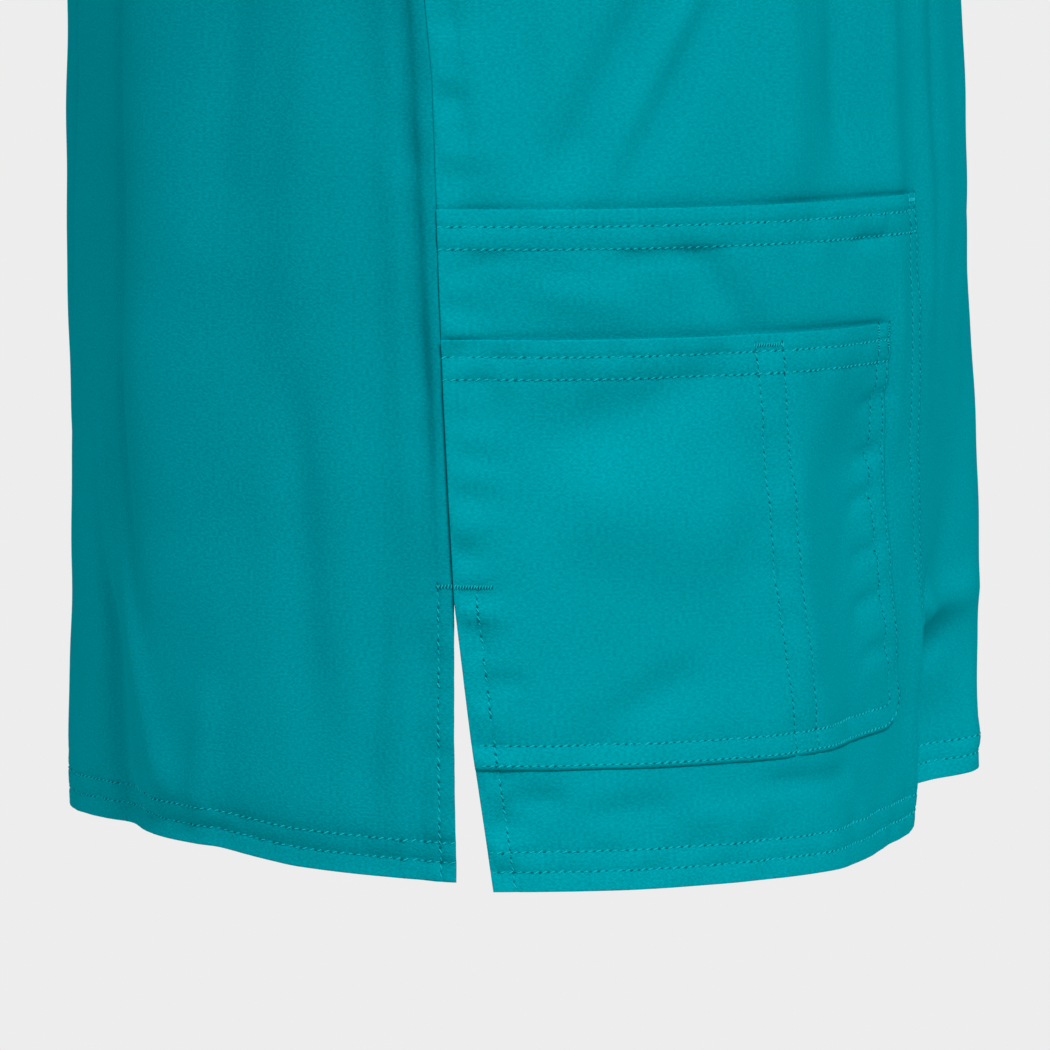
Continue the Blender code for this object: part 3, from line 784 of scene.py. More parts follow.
def stitch_hole_shade_finish(name, dye):
    """Painted shade: the dark colour of the beads laid in the needle holes, where little light reaches."""
    finish, tree = new_finish(name)
    surface(tree, {"Base Color": linear(dye), "Roughness": 0.8, "Specular IOR Level": 0.0})
    return finish


def stitch_tree():
    """Geometry Nodes that lay a stitch and a dark bead of painted needle-hole shade for each pitch along
    every edge path of a mesh.
    """
    tree = bpy.data.node_groups.new("lockstitch", "GeometryNodeTree")
    sockets = tree.interface
    sockets.new_socket("Path", in_out="INPUT", socket_type="NodeSocketGeometry")
    for label, kind in (("Pitch", "Float"), ("Length", "Float"), ("Gap", "Float"), ("Thread", "Float"),
                        ("Slant", "Float"), ("Seed", "Int"), ("Thread finish", "Material"),
                        ("Hole shade finish", "Material")):
        sockets.new_socket(label, in_out="INPUT", socket_type="NodeSocket" + kind)
    sockets.new_socket("Stitches", in_out="OUTPUT", socket_type="NodeSocketGeometry")
    given = add_node(tree, "NodeGroupInput").outputs
    curve = add_node(tree, "GeometryNodeMeshToCurve", {"Mesh": given["Path"]})
    steps = add_node(tree, "GeometryNodeResampleCurve", {"Curve": curve.outputs[0],
                                                         "Length": given["Pitch"]}, mode="LENGTH")
    tangent = add_node(tree, "GeometryNodeInputTangent")
    facing = add_node(tree, "GeometryNodeInputNamedAttribute", {"Name": "facing"}, data_type="FLOAT_VECTOR")
    run = add_node(tree, "FunctionNodeAlignRotationToVector", {"Vector": tangent.outputs[0]}, axis="X")
    lie = add_node(tree, "FunctionNodeAlignRotationToVector",
                   {"Rotation": run.outputs[0], "Vector": facing.outputs[0]}, axis="Z", pivot_axis="X")
    lean = add_node(tree, "FunctionNodeRandomValue", {2: -0.14, 3: 0.14, "Seed": given["Seed"]},
                    data_type="FLOAT")
    slant = add_node(tree, "ShaderNodeMath", {0: given["Slant"], 1: lean.outputs[1]}, operation="ADD")
    turn = add_node(tree, "ShaderNodeCombineXYZ", {"Z": slant.outputs[0]})
    slanted = add_node(tree, "FunctionNodeRotateRotation", {"Rotation": lie.outputs[0],
                                                            "Rotate By": turn.outputs[0]},
                       rotation_space="LOCAL")
    size = add_node(tree, "FunctionNodeRandomValue", {2: 0.82, 3: 1.12, "Seed": given["Seed"]},
                    data_type="FLOAT")
    ball = add_node(tree, "GeometryNodeMeshUVSphere", {"Segments": 6, "Rings": 4, "Radius": 0.5})

    def times(label, factor):
        product = add_node(tree, "ShaderNodeMath", {0: given[label], 1: factor}, operation="MULTIPLY")
        return product.outputs[0]

    def laid(length, width, height, shift, rise, finish):
        """Beads along the path. Width, height and rise are in threads, and the shift is in pitches."""
        form = add_node(tree, "ShaderNodeCombineXYZ", {"X": length, "Y": times("Thread", width),
                                                       "Z": times("Thread", height)})
        bead = add_node(tree, "GeometryNodeTransform", {"Geometry": ball.outputs["Mesh"],
                                                        "Scale": form.outputs[0]})
        ahead = add_node(tree, "ShaderNodeVectorMath", {0: tangent.outputs[0], 3: times("Pitch", shift)},
                         operation="SCALE")
        above = add_node(tree, "ShaderNodeVectorMath", {0: facing.outputs[0], 3: times("Thread", rise)},
                         operation="SCALE")
        offset = add_node(tree, "ShaderNodeVectorMath", {0: ahead.outputs[0], 1: above.outputs[0]},
                          operation="ADD")
        moved = add_node(tree, "GeometryNodeSetPosition", {"Geometry": steps.outputs[0],
                                                           "Offset": offset.outputs[0]})
        copies = add_node(tree, "GeometryNodeInstanceOnPoints",
                          {"Points": moved.outputs[0], "Instance": bead.outputs[0],
                           "Rotation": slanted.outputs[0], "Scale": size.outputs[1]})
        real = add_node(tree, "GeometryNodeRealizeInstances", {"Geometry": copies.outputs[0]})
        return add_node(tree, "GeometryNodeSetMaterial", {"Geometry": real.outputs[0], "Material": finish})

    threads = laid(given["Length"], width=1.0, height=0.9, shift=0.0, rise=0.12,
                   finish=given["Thread finish"])
    # Dark beads between the stitches: painted shade in the needle holes.
    hole_shade_beads = laid(given["Gap"], width=1.2, height=0.6, shift=0.5, rise=0.0, finish=given["Hole shade finish"])
    both = add_node(tree, "GeometryNodeJoinGeometry")
    for made in (threads, hole_shade_beads):
        tree.links.new(made.outputs[0], both.inputs[0])
    add_node(tree, "NodeGroupOutput", {"Stitches": both.outputs[0]})
    return tree


# The thread's colour, brighter than the cloth's, is a painted highlight.
thread = spun_thread("spun_polyester_thread_painted_highlight", "#16B6C2")
# Dark colour of the beads of painted shade in the needle holes.
stitch_hole_shade = stitch_hole_shade_finish("painted_stitch_hole_shade", "#006873")
lockstitch = stitch_tree()


def stitches(name, lines, seed, pitch=STITCH_PITCH, length=0.0021, gap=0.0011, slant=0.42):
    """Sewing along lines, each a pair of points and outward directions."""
    points = np.concatenate([line[0] for line in lines])
    facing = np.concatenate([line[1] for line in lines])
    edges, first = [], 0
    for line in lines:
        count = len(line[0])
        edges += [(first + i, first + i + 1) for i in range(count - 1)]
        first += count
    path = bpy.data.meshes.new(name + "_path")
    path.from_pydata(points.tolist(), edges, [])
    path.attributes.new("facing", "FLOAT_VECTOR", "POINT").data.foreach_set("vector", facing.reshape(-1))
    piece = placed(name, path)
    sewing = piece.modifiers.new("sewing", "NODES")
    sewing.node_group = lockstitch
    values = {"Pitch": pitch, "Length": length, "Gap": gap, "Thread": THREAD, "Slant": slant,
              "Seed": seed, "Thread finish": thread, "Hole shade finish": stitch_hole_shade}
    for socket in lockstitch.interface.items_tree:
        if socket.in_out == "INPUT" and socket.name in values:
            sewing[socket.identifier] = values[socket.name]
    seen_now = bpy.context.evaluated_depsgraph_get()
    mesh = bpy.data.meshes.new_from_object(piece.evaluated_get(seen_now))
    piece.modifiers.clear()
    piece.data = mesh
    mesh.name = name
    mesh.shade_smooth()
    bpy.data.meshes.remove(path)
    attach(piece, "root")


def sewn(side, panel, level, share, metres, lift_of):
    """A line of stitches on the cloth: its points, on the creased face, and its outward directions."""
    level, share, metres = np.broadcast_arrays(*(np.asarray(v, float) for v in (level, share, metres)))
    points, normals, from_side, from_centre = on_cloth(side, panel, level, share, metres)
    return points + normals * lift_of((side, level, from_side, from_centre))[:, None], normals


def hem_row(panel, height, lift_of):
    """A row from one vent over the centre to the other."""
    share = np.linspace(0.004, 1, 160)
    halves = [sewn(side, panel, height - UNDERARM_HEIGHT, share, 0.0, lift_of) for side in (RIGHT, LEFT)]
    return [np.concatenate([halves[0][i], halves[1][i][-2::-1]]) for i in (0, 1)]


def panel_rows(panel, lift_of):
    """Rows of the hem, the vents, the armholes and the neck of a panel."""
    lines = [hem_row(panel, height, lift_of) for height in HEM_LINES]
    slit = np.linspace(0.002, SLIT_LENGTH + 0.0035, 60) - UNDERARM_HEIGHT
    armhole = np.linspace(0.03, 0.99, 70)
    neck = np.linspace(NECK_LEVELS[panel] + 0.01, 0.995, 60)
    for side in (RIGHT, LEFT):
        lines.append(sewn(side, panel, slit, 0.0, SLIT_LINE[panel], lift_of))
        lines.append(sewn(side, panel, armhole, 0.0, SEAM_LINE, lift_of))
        lines.append(sewn(side, panel, neck, 1.0, -SEAM_LINE, lift_of))
    return lines


def back_rows():
    """The back's rows, with those beside the shoulder seams, which are sewn on the back alone."""
    shoulder = np.linspace(0.03, 0.97, 30)
    lines = panel_rows("back", back_relief)
    for side in (RIGHT, LEFT):
        for line in SHOULDER_LINES:
            lines.append(sewn(side, "back", 1 - line / RUN_AT_SHOULDER, shoulder, 0.0, back_relief))
    return lines


def bar_tacks(name, lines, seed):
    """Bars of close zigzag stitches, 2 mm wide, where a seam or a pocket takes strain."""
    stitches(name, lines, seed, pitch=0.00085, length=0.0018, gap=0.0012, slant=1.25)


def bar(side, panel, share, metres, heights, lift_of):
    """Line of a bar tack, from one distance or height to the other."""
    run = np.linspace(0, 1, 8)
    metres = metres[0] + (metres[-1] - metres[0]) * run
    height = heights[0] + (heights[-1] - heights[0]) * run
    return sewn(side, panel, height - UNDERARM_HEIGHT, share, metres, lift_of)


TACK_HEIGHT = SLIT_LENGTH + 0.0036  # of the bar across the top of a vent
stitches("back_stitches", back_rows(), 1)
bar_tacks("back_bar_tacks", [bar(side, "back", 0.0, (0.0006, 0.0046), (TACK_HEIGHT,), back_relief)
                             for side in (RIGHT, LEFT)], 21)

# -------------------------------------------------------------------------------------------- patch pockets
# Two large pockets are caught in the side seams and the hem. A small one with a pen slot lies on the right
# large one. Each has a deep turned top edge with two rows of stitches, and its other edges are sewn flat.

POCKET_WALL = 0.0008
LAYER = 0.0009  # how far one more layer lies above the one below
SMALL_TOP_H = BODY_LENGTH - 0.5278  # above the hem
SMALL_BOTTOM_H = BODY_LENGTH - 0.6628
SMALL_SHARE = 0.560  # of the half front's width
SMALL_WIDTH = 0.165
HALF_FRONT = 0.29  # about the width of half the front
CORNER = (0.015, 0.010)  # width and height of the small pocket's rounded corner
TOP_LINES = (0.0055, 0.0125)  # stitch lines below a pocket's top
EDGE_LINES = (0.0009, 0.0072)  # stitch lines beside its free edge
BOTTOM_LINES = (0.0010, 0.0072)  # stitch lines above the small pocket's bottom
PEN_LINES = (0.3425, 0.3735)  # stitch lines of the pen slot, in shares of the half front's width


def pocket_heights(depth, is_small):
    """Rows of points above a pocket's bottom, closer at its edges and its stitch lines."""
    bottom_lines = BOTTOM_LINES if is_small else HEM_LINES
    near_bottom = spread(EDGE_ROWS, NEAR_ROWS[:2], around(*bottom_lines), 0.016)
    near_top = spread(EDGE_ROWS, 0.002, 0.0035, around(*TOP_LINES), 0.0155, 0.019)
    between = np.arange(near_bottom[-1] + 0.003, depth - near_top[-1], 0.0027)
    rows = spread(near_bottom, between, depth - near_top)
    return rows if is_small else spread(rows, SMALL_TOP_H + np.array(MOUTH_ROWS))


def pocket_columns(share, is_small):
    """Shares and metres of the columns of points across a pocket, and their distances from its free edge."""
    near = spread(EDGE_ROWS, NEAR_ROWS[:2], around(SLIT_LINE["front"]), 0.011)
    middle = np.linspace(0, 1, 60)[1:-1]
    far = spread(EDGE_ROWS, around(*EDGE_LINES), 0.0035, 0.0105)[::-1]
    if is_small:
        # The pen slot's lines get columns of their own, so that others keep clear of them.
        across = middle * share * HALF_FRONT + near[-1] * (1 - middle) - far[0] * middle
        clear = [np.abs(across - line * HALF_FRONT) > 0.0024 for line in PEN_LINES]
        middle = middle[np.all(clear, axis=0)]
    shares = np.concatenate([np.zeros(len(near)), middle * share, np.full(len(far), share)])
    metres = np.concatenate([near, near[-1] * (1 - middle) - far[0] * middle, -far])
    from_free = np.concatenate([np.ones(len(near)), far[0] + (1 - middle) * SMALL_WIDTH, far])
    if is_small:
        shares = np.append(shares, np.repeat(PEN_LINES, len(STITCH_ROWS)))
        metres = np.append(metres, np.tile(STITCH_ROWS, len(PEN_LINES)))
        from_free = np.append(from_free, np.ones(len(STITCH_ROWS) * len(PEN_LINES)))
        order = np.argsort(shares * HALF_FRONT + metres)
        shares, metres, from_free = shares[order], metres[order], from_free[order]
    return shares, metres, from_free


def pocket_piece(name, side, share, bottom, top, lift_of, corner=(0, 0)):
    """Patch pocket from the side seam to a share of the half front's width.

    Only the small one has a rounded corner.
    """
    depth = top - bottom
    rows = pocket_heights(depth, corner[0] > 0)[:, None]
    shares, metres, from_free = pocket_columns(share, corner[0] > 0)
    beyond = np.clip(1 - from_free / max(corner[0], 1e-6), 0, 1)
    lowest = corner[1] * (1 - np.sqrt(1 - beyond**2))
    up = lowest + rows * (depth - lowest) / depth
    level = bottom + up - UNDERARM_HEIGHT
    points, normals, from_side, from_centre = on_cloth(side, "front", level, shares, metres)
    place = (side, level, from_side, from_centre)
    near_edge = np.minimum.reduce([from_side, edge_beyond(share, place), np.broadcast_to(rows, up.shape),
                                   depth - up])
    flat = np.stack([side * from_centre, height_of(level)], -1)
    patch = wall_grids(points, normals, lift_of(place), near_edge, POCKET_WALL, flat)
    piece = cloth_piece(name, [patch], twill)
    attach(piece, "root")
    return piece


def mouth_relief(top, h, from_side, from_edge, seed, opening):
    """Turned top edge, which stands a little off between its ends, and its two stitch lines."""
    off = top - h
    free = smooth_step(from_side / 0.04) * smooth_step(from_edge / 0.04)
    standing = free * opening * smooth_step(1 - off / 0.04)
    return standing + turned_edge(from_side, off, TOP_LINES, seed, 0.0012)


def large_pocket_relief(place, from_edge):
    """Mouth and free edge of a large pocket, and on the right the dent below the small pocket's mouth."""
    side, level, from_side, _ = place
    h = height_of(level)
    lift = mouth_relief(POCKET_TOP_H, h, from_side, from_edge, 80 + side, 0.0022)
    for i, line in enumerate(EDGE_LINES):
        lift += groove(from_edge - line, 0.0003) + puckers(h, from_edge - line, 84 + i + side, 0.0006, 0.005)
    if side == RIGHT:
        lift += pressed_by(SMALL_SHARE, SMALL_TOP_H, place)
    return lift


def small_pocket_relief(place, from_edge):
    """Mouth, bottom, free edge and pen slot of the small pocket, which lies on the large one."""
    _, level, from_side, _ = place
    h = height_of(level)
    up = h - SMALL_BOTTOM_H
    lift = LAYER + mouth_relief(SMALL_TOP_H, h, from_side, from_edge, 90, 0.0028)
    lift += groove(up - BOTTOM_LINES[1]) + puckers(from_side, up - BOTTOM_LINES[1], 94, 0.0009, 0.006)
    for i, line in enumerate(EDGE_LINES):
        lift += groove(from_edge - line, 0.0003) + puckers(h, from_edge - line, 95 + i, 0.0009, 0.005)
    for i, share in enumerate(PEN_LINES):
        off = edge_beyond(share, place)
        lift += groove(off) + puckers(h, off, 98 + i, 0.0009, 0.006)
    return lift


def lift_over(share, relief):
    """Function for the lift of a pocket's outer face, which follows the cloth behind it."""
    def lift(place):
        return front_relief(place) + LAYER + relief(place, edge_beyond(share, place))
    return lift


large_lift = lift_over(POCKET_SHARE, large_pocket_relief)
small_lift = lift_over(SMALL_SHARE, small_pocket_relief)

for side, side_name in SIDE_NAMES.items():
    pocket = pocket_piece("pocket_cloth_" + side_name, side, POCKET_SHARE, 0.0, POCKET_TOP_H, large_lift)
    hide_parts("pocket_large_" + side_name)
pocket = pocket_piece("small_pocket_cloth", RIGHT, SMALL_SHARE, SMALL_BOTTOM_H, SMALL_TOP_H, small_lift,
                      CORNER)
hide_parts("pocket_small_right")

# ---------------------------------------------------------- topstitching of the front panel and the pockets
# The front's rows pass over the large pockets, which are caught in its hem and side seams. Each pocket has
# two rows along its turned top edge and two beside its free edge, and two rows through it make the pen slot.


def outer_lift(place):
    """Lift of whichever layer lies outermost on the front at a place."""
    h = height_of(place[1])
    on_large = (edge_beyond(POCKET_SHARE, place) > 0) & (h < POCKET_TOP_H)
    on_small = (edge_beyond(SMALL_SHARE, place) > 0) & (h < SMALL_TOP_H) & (h > SMALL_BOTTOM_H)
    below = np.where(on_large, large_lift(place), front_relief(place))
    return np.where(on_small & (place[0] == RIGHT), small_lift(place), below)


def pocket_rows(side, share, top, lift_of):
    """The two rows along a pocket's turned top edge."""
    across = np.linspace(0.004, 0.995, 80) * share
    return [sewn(side, "front", top - line - UNDERARM_HEIGHT, across, 0.0, lift_of) for line in TOP_LINES]


def large_pocket_rows(side):
    """Its top rows and the two rows beside its free edge."""
    height = np.linspace(0.0145, POCKET_TOP_H - 0.001, 80) - UNDERARM_HEIGHT
    return pocket_rows(side, POCKET_SHARE, POCKET_TOP_H, large_lift) + [
        sewn(side, "front", height, POCKET_SHARE, -line, large_lift) for line in EDGE_LINES]


def small_pocket_rows():
    """Its top rows, the two rows that follow its bottom and its rounded corner, and the pen slot."""
    lines = pocket_rows(RIGHT, SMALL_SHARE, SMALL_TOP_H, small_lift)
    count = 70
    for inset in BOTTOM_LINES:
        turn = np.linspace(0, np.pi / 2, 12)
        inward = CORNER[0] - (CORNER[0] - inset) * np.sin(turn)
        height = CORNER[1] - np.maximum(CORNER[1] - inset, 0) * np.cos(turn)
        above = np.linspace(CORNER[1] + 0.001, SMALL_TOP_H - SMALL_BOTTOM_H - 0.001, count)
        inward = np.append(inward, np.full(count, inset))
        level = SMALL_BOTTOM_H + np.append(height, above) - UNDERARM_HEIGHT
        _, _, start, _ = on_cloth(RIGHT, "front", level[:1], SMALL_SHARE, -inward[0])
        bottom = np.linspace(0.003, float(start[0]) - 0.001, count)
        metres = np.append(bottom, -inward)
        shares = np.append(np.zeros(count), np.full(len(inward), SMALL_SHARE))
        level = np.append(np.full(count, level[0]), level)
        lines.append(sewn(RIGHT, "front", level, shares, metres, small_lift))
    slot = np.linspace(SMALL_BOTTOM_H + 0.001, SMALL_TOP_H - 0.004, count) - UNDERARM_HEIGHT
    return lines + [sewn(RIGHT, "front", slot, share, 0.0, small_lift) for share in PEN_LINES]


stitches("front_stitches", panel_rows("front", outer_lift), 2)
bar_tacks("front_bar_tacks", [bar(side, "front", 0.0, (0.0006, 0.0118), (TACK_HEIGHT,), outer_lift)
                              for side in (RIGHT, LEFT)], 22)
for side, side_name in SIDE_NAMES.items():
    stitches("pocket_stitches_" + side_name, large_pocket_rows(side), 3 + side)
    bar_tacks("pocket_bar_tacks_" + side_name,
              [bar(side, "front", POCKET_SHARE, (-0.0078, -0.0008), (POCKET_TOP_H - 0.0022,), large_lift)],
              24 + side)
stitches("small_pocket_stitches", small_pocket_rows(), 7)
upright = (SMALL_TOP_H - 0.0078, SMALL_TOP_H - 0.0008)
bars = [bar(RIGHT, "front", SMALL_SHARE, (-inset,), upright, small_lift) for inset in (0.0012, 0.0072)]
bars.append(bar(RIGHT, "front", PEN_LINES[0], (-0.0004, 0.0094), (SMALL_TOP_H - 0.0036,), small_lift))
bar_tacks("small_pocket_bar_tacks", bars, 26)

# -------------------------------------------------------------------------------------------------- sleeves
# Short set-in sleeves, each one piece of the twill closed by an underarm seam. Its cuff is turned in and
# held by two rows of stitches.

SLEEVE_LENGTH = 0.205
SLEEVE_DROP_ANGLE = math.radians(47)
CUFF_RADIUS = 0.061
SLEEVE_TUCK = 0.0012  # how far the sleeve's edge lies under the armhole's
SLEEVE_SINK = 0.45  # how much deeper it lies there, as a share of its wall
SLEEVE_START_PULL, SLEEVE_END_PULL = 0.11, 0.12  # how strongly it keeps its direction at its two ends
UNDERARM_LEAN = 0.55  # share of its own direction in the one in which it leaves the armhole
SLEEVE_CLOTH = 0.9  # mean length of its cloth, as a share of its length
SLEEVE_FLAT = 0.4  # mean width of its cut cloth
PERCENT_ROUND, PERCENT_ALONG = 0.0019, 0.002  # metres of cloth in a percent round and along it
CUFF_LINES = (0.014, 0.0204)  # stitch lines above the cuff's edge

SLEEVE_CREASES = (
    # round_start, along_start, round_end, along_end, half_width in percent, lift in millimetres
    # (round the sleeve from 0 at the shoulder over 100 at the underarm to 200)
    (60, 0, 74, 60, 9, -2.6),
    (80, 5, 92, 80, 8, -2.2),
    (72, 10, 60, 90, 9, 1.8),
    (130, 0, 118, 60, 9, -2.6),
    (112, 5, 106, 70, 7, -1.8),
    (134, 20, 146, 95, 10, 1.6),
    (18, 20, 34, 95, 12, -1.2),
    (178, 25, 164, 95, 12, -1.3),
    (100, 10, 99, 90, 8, 1.6),
)


def armhole_loop(side):
    """The armhole from the shoulder point down the front and up the back: points and directions."""
    level = body_levels("front")
    level = np.append(0.0, level[level > 0])
    loop, facing = [], []
    for panel, order in (("front", -1), ("back", 1)):
        points, normals, _, _ = on_cloth(side, panel, level, 0.0)
        keep = slice(0, None) if panel == "front" else slice(1, -1)
        loop.append(points[::order][keep])
        facing.append(normals[::order][keep])
    return np.concatenate(loop), np.concatenate(facing), len(level) - 1


def evened(directions, share, reach=0.035):
    """Directions round a ring, made alike beside its top, where front and back meet in a step."""
    after, before = np.searchsorted(share, reach), np.searchsorted(share, 2 - reach) - 1
    shared = (directions[..., after, :] + directions[..., before, :])[..., None, :] / 2
    keep = smooth_step(np.minimum(share, 2 - share) / reach)[:, None]
    mixed = directions * keep + shared * (1 - keep)
    return mixed / np.linalg.norm(mixed, axis=-1, keepdims=True)


def sleeve_grid(side, steps):
    """Points of the sleeve's outer face, a closed ring for each step from the armhole to the cuff."""
    loop, facing, lowest = armhole_loop(side)
    along = np.roll(loop, -1, axis=0) - np.roll(loop, 1, axis=0)
    away = np.cross(along, facing)
    away /= np.linalg.norm(away, axis=1, keepdims=True)
    away *= math.copysign(1, away[3][0] * side)
    closed = np.append(loop, loop[:1], axis=0)
    run = np.append(0, np.cumsum(np.linalg.norm(np.diff(closed, axis=0), axis=1)))
    share = np.where(np.arange(len(loop)) <= lowest, run[:-1] / run[lowest],
                     2 - (run[-1] - run[:-1]) / (run[-1] - run[lowest]))
    away = evened(away, share)
    start = loop - away * SLEEVE_TUCK - facing * CLOTH_WALL * SLEEVE_SINK
    axis = np.array([side * math.cos(SLEEVE_DROP_ANGLE), 0, -math.sin(SLEEVE_DROP_ANGLE)])
    upper = np.array([side * math.sin(SLEEVE_DROP_ANGLE), 0, math.cos(SLEEVE_DROP_ANGLE)])
    centre = loop[0] + axis * SLEEVE_LENGTH - upper * CUFF_RADIUS
    angle = np.pi * share
    cuff = (centre + CUFF_RADIUS * np.cos(angle)[:, None] * upper
            - CUFF_RADIUS * np.sin(angle)[:, None] * np.array([0, 1, 0]))
    leaving = away * np.clip(away @ axis, 0, 1)[:, None] + axis * UNDERARM_LEAN
    leaving *= SLEEVE_START_PULL / np.linalg.norm(leaving, axis=1, keepdims=True)
    arriving = axis * SLEEVE_END_PULL
    t = np.asarray(steps)[:, None, None]
    from_start = (1 + 2 * t) * (1 - t) ** 2 * start + t * (1 - t) ** 2 * leaving
    rings = from_start + t * t * (3 - 2 * t) * cuff + t * t * (t - 1) * arriving
    tangent = np.gradient(rings, np.asarray(steps), axis=0)
    ringwise = np.roll(rings, -1, axis=1) - np.roll(rings, 1, axis=1)
    normals = np.cross(ringwise, tangent)
    normals /= np.linalg.norm(normals, axis=2, keepdims=True)
    outward = np.sum(normals * (rings - rings.mean(axis=1, keepdims=True)))
    return rings, evened(normals, share) * math.copysign(1, outward), share


def sleeve_relief(side, share, along, from_cuff):
    """Lift of a sleeve's cloth, which stays smooth beside the seam and along the top."""
    around_it, up = share * 100 * np.ones_like(along), along * 100 * np.ones_like(share)
    from_top = smooth_step(np.minimum(share, 2 - share) / 0.16)
    fade = smooth_step(along / 0.12) * from_top
    lift = creases(SLEEVE_CREASES, around_it / 1000 + side * 0.002, up / 1000) * fade
    lift += ripple(around_it * PERCENT_ROUND, up * PERCENT_ALONG, 100 + side, 0.0012, 0.08) * fade
    lift += TURN_STEP * smooth_step((CUFF_LINES[1] + 0.001 - from_cuff) / 0.001)
    for i, line in enumerate(CUFF_LINES):
        gathers = puckers(around_it * PERCENT_ROUND, from_cuff - line, 104 + i, 0.0006, 0.005)
        lift = lift + groove(from_cuff - line) + gathers * from_top
    return lift


def sleeve_piece(side, side_name):
    """One sleeve and the stitches of its cuff."""
    length = SLEEVE_LENGTH * SLEEVE_CLOTH
    near_cuff = spread(EDGE_ROWS, (0.0015, 0.003, 0.006, 0.009, 0.0115), around(*CUFF_LINES), 0.023)
    distances = spread(EDGE_ROWS, NEAR_ROWS[:2], np.arange(0.006, length - near_cuff[-1], 0.0042),
                       length - near_cuff)
    steps = distances / distances[-1]
    rings, normals, share = sleeve_grid(side, steps)
    along = steps[:, None]
    from_cuff = np.broadcast_to((distances[-1] - distances)[:, None], rings.shape[:2])
    lift = sleeve_relief(side, share[None, :], along, from_cuff)
    near = np.minimum(np.broadcast_to(distances[:, None], rings.shape[:2]), from_cuff)
    flat = np.stack(np.broadcast_arrays(share[None, :] * SLEEVE_FLAT / 2, -distances[:, None]), -1)
    patch = wall_grids(rings, normals, lift, near, CLOTH_WALL, flat)
    closed = [np.concatenate([grid, grid[:, :1]], axis=1) for grid in patch]
    closed[2][:, -1, 0] = SLEEVE_FLAT
    piece = cloth_piece("sleeve_cloth_" + side_name, [tuple(closed)], twill)
    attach(piece, "root")
    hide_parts("sleeve_" + side_name)
    lines = []
    for line in CUFF_LINES:
        row = np.argmin(np.abs(distances - (distances[-1] - line)))
        face = rings[row] + normals[row] * lift[row][:, None]
        lines.append([np.append(grid, grid[:1], axis=0) for grid in (face, normals[row])])
    stitches("sleeve_stitches_" + side_name, lines, 10 + side)


for side, side_name in SIDE_NAMES.items():
    sleeve_piece(side, side_name)

# ------------------------------------------------------------------------------------------------- neckband
# A folded band of the same twill, 24 mm wide, is sewn to the neck edge all round and stands inside it. It
# meets itself in a V at the front.

BAND_FRONT_RISE = 0.036  # from the neck edge up to the band's free edge, at the centre
BAND_BACK_RISE = 0.015
BAND_STEPS = 13


def neckband_piece():
    """The band, in a patch for each half of the front and the back."""
    lowest = {"front": centre_share(NECK_FRONT_DROP - BAND_FRONT_RISE),
              "back": centre_share(NECK_BACK_DROP - BAND_BACK_RISE)}
    edge = np.array(EDGE_ROWS) / BAND_WIDTH
    steps = spread(edge, np.linspace(0, 1, BAND_STEPS), 1 - edge)
    patches = []
    for side in (RIGHT, LEFT):
        for panel in ("front", "back"):
            level = body_levels(panel)
            level = level[level >= NECK_LEVELS[panel]]
            part = neck_part(panel, level)
            outer_x, outer_share = neck_place(panel, part, NECK_HALF_WIDTH, NECK_SHARES[panel])
            inner_x, inner_share = neck_place(panel, part, NECK_HALF_WIDTH - BAND_WIDTH, lowest[panel])
            x = outer_x[:, None] * (1 - steps) + inner_x[:, None] * steps
            share = np.minimum(outer_share[:, None] * (1 - steps) + inner_share[:, None] * steps, 1.0)
            band_level = level_of_share(share)
            turn = turn_at(panel, x, band_level)
            points = cloth_point(side, panel, turn, band_level)
            normals = cloth_normal(side, panel, turn, band_level)
            from_seam = np.broadcast_to(steps * BAND_WIDTH, x.shape)
            near = np.minimum(from_seam, BAND_WIDTH - from_seam)
            run = np.append(0, np.cumsum(np.linalg.norm(np.diff(points[:, 0], axis=0), axis=1)))
            lift = puckers(run[:, None], from_seam - 0.002, 110 + side, 0.0004, 0.005)
            from_end = np.minimum(run, run[-1] - run)[:, None]
            lift = lift * smooth_step(from_end / 0.012) * smooth_step(from_seam / 0.0012)
            lift += 0.0003 * np.sin(np.pi * steps)
            flat = np.stack(np.broadcast_arrays(side * run[:, None], from_seam), -1)
            patches.append(wall_grids(points, normals, lift, near, CLOTH_WALL, flat))
    piece = cloth_piece("neckband_cloth", patches, twill)
    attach(piece, "root")
    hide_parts("neckband")


neckband_piece()

# ---------------------------------------------------------------------------------------- studio and camera
# A pale floor and backdrop, and a broad key light from the wearer's right and above. A weaker one comes from
# behind, a faint one from in front and a rim light from the left rear, with a little light from all round.

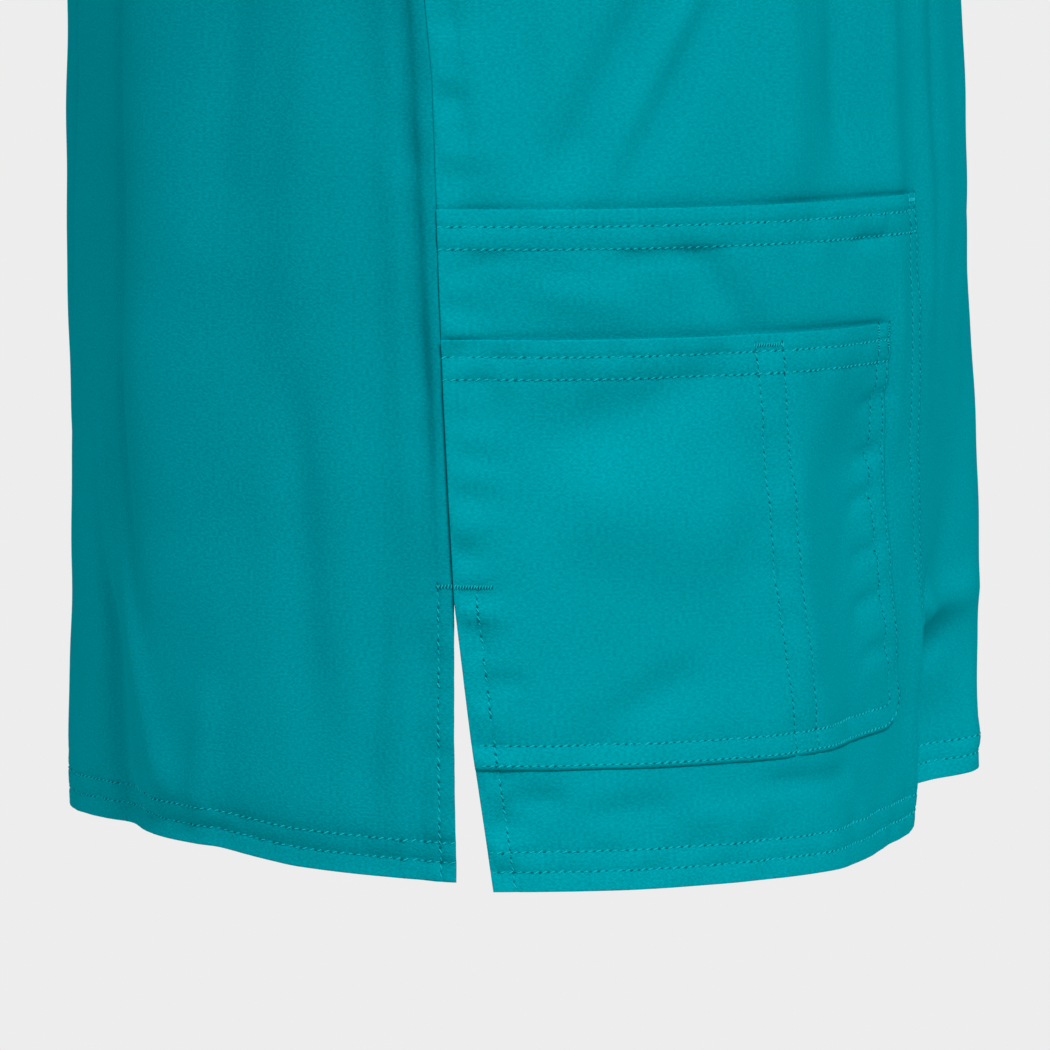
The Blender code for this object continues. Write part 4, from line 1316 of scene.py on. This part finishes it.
FLOOR_Z = -1.42
FLOOR_HALF = 2.0
floor_mesh = bpy.data.meshes.new("floor")
corners = [(x * FLOOR_HALF, y * FLOOR_HALF, FLOOR_Z) for x, y in ((-1, -1), (1, -1), (1, 1), (-1, 1))]
floor_mesh.from_pydata(corners, [], [(0, 1, 2, 3)])
floor = placed("floor", floor_mesh)
paper, paper_tree = new_finish("matt_paper")
paper_shader = add_node(paper_tree, "ShaderNodeBsdfDiffuse", {"Color": linear("#F2F2F2")})
add_node(paper_tree, "ShaderNodeOutputMaterial", {"Surface": paper_shader.outputs[0]})
floor_mesh.materials.append(paper)

world = bpy.data.worlds.new("studio")
bpy.context.scene.world = world
world.use_nodes = True
sky = world.node_tree
sky.nodes.clear()
seen = add_node(sky, "ShaderNodeBackground", {"Color": linear("#EDEDED"), "Strength": 1.0})
soft = add_node(sky, "ShaderNodeBackground", {"Color": (1, 1, 1, 1), "Strength": 0.08})
ray = add_node(sky, "ShaderNodeLightPath")
either = add_node(sky, "ShaderNodeMixShader", {0: ray.outputs["Is Camera Ray"], 1: soft.outputs[0],
                                               2: seen.outputs[0]})
add_node(sky, "ShaderNodeOutputWorld", {"Surface": either.outputs[0]})


def soft_sun(name, source, strength, spread_angle):
    """Very wide, soft distant light. It comes from the direction of its source."""
    light = bpy.data.lights.new(name, "SUN")
    light.energy = strength
    light.angle = math.radians(spread_angle)
    direction = np.array(source) / np.linalg.norm(source)
    azimuth, tilt = math.atan2(direction[1], direction[0]), math.acos(direction[2])
    placed(name, light).rotation_euler = (0, tilt, azimuth)


soft_sun("key", (-0.690, -0.251, 0.679), 2.80, 20)
soft_sun("back_fill", (-0.310, 0.728, 0.611), 0.72, 30)
soft_sun("front_fill", (0.084, -0.962, 0.259), 0.26, 50)
soft_sun("rim", (0.42, 0.86, 0.30), 0.75, 40)

camera_data = bpy.data.cameras.new("camera")
camera_data.sensor_width = 36.0
camera_data.lens = 253.8
camera_data.clip_end = 500.0
camera = placed("camera", camera_data)
camera.location = (-2.49, 0.0, -0.34)
camera.rotation_euler = (math.radians(90 - 6.1), 0, math.radians(-90))
bpy.context.scene.camera = camera
bpy.context.scene.view_settings.view_transform = "Standard"
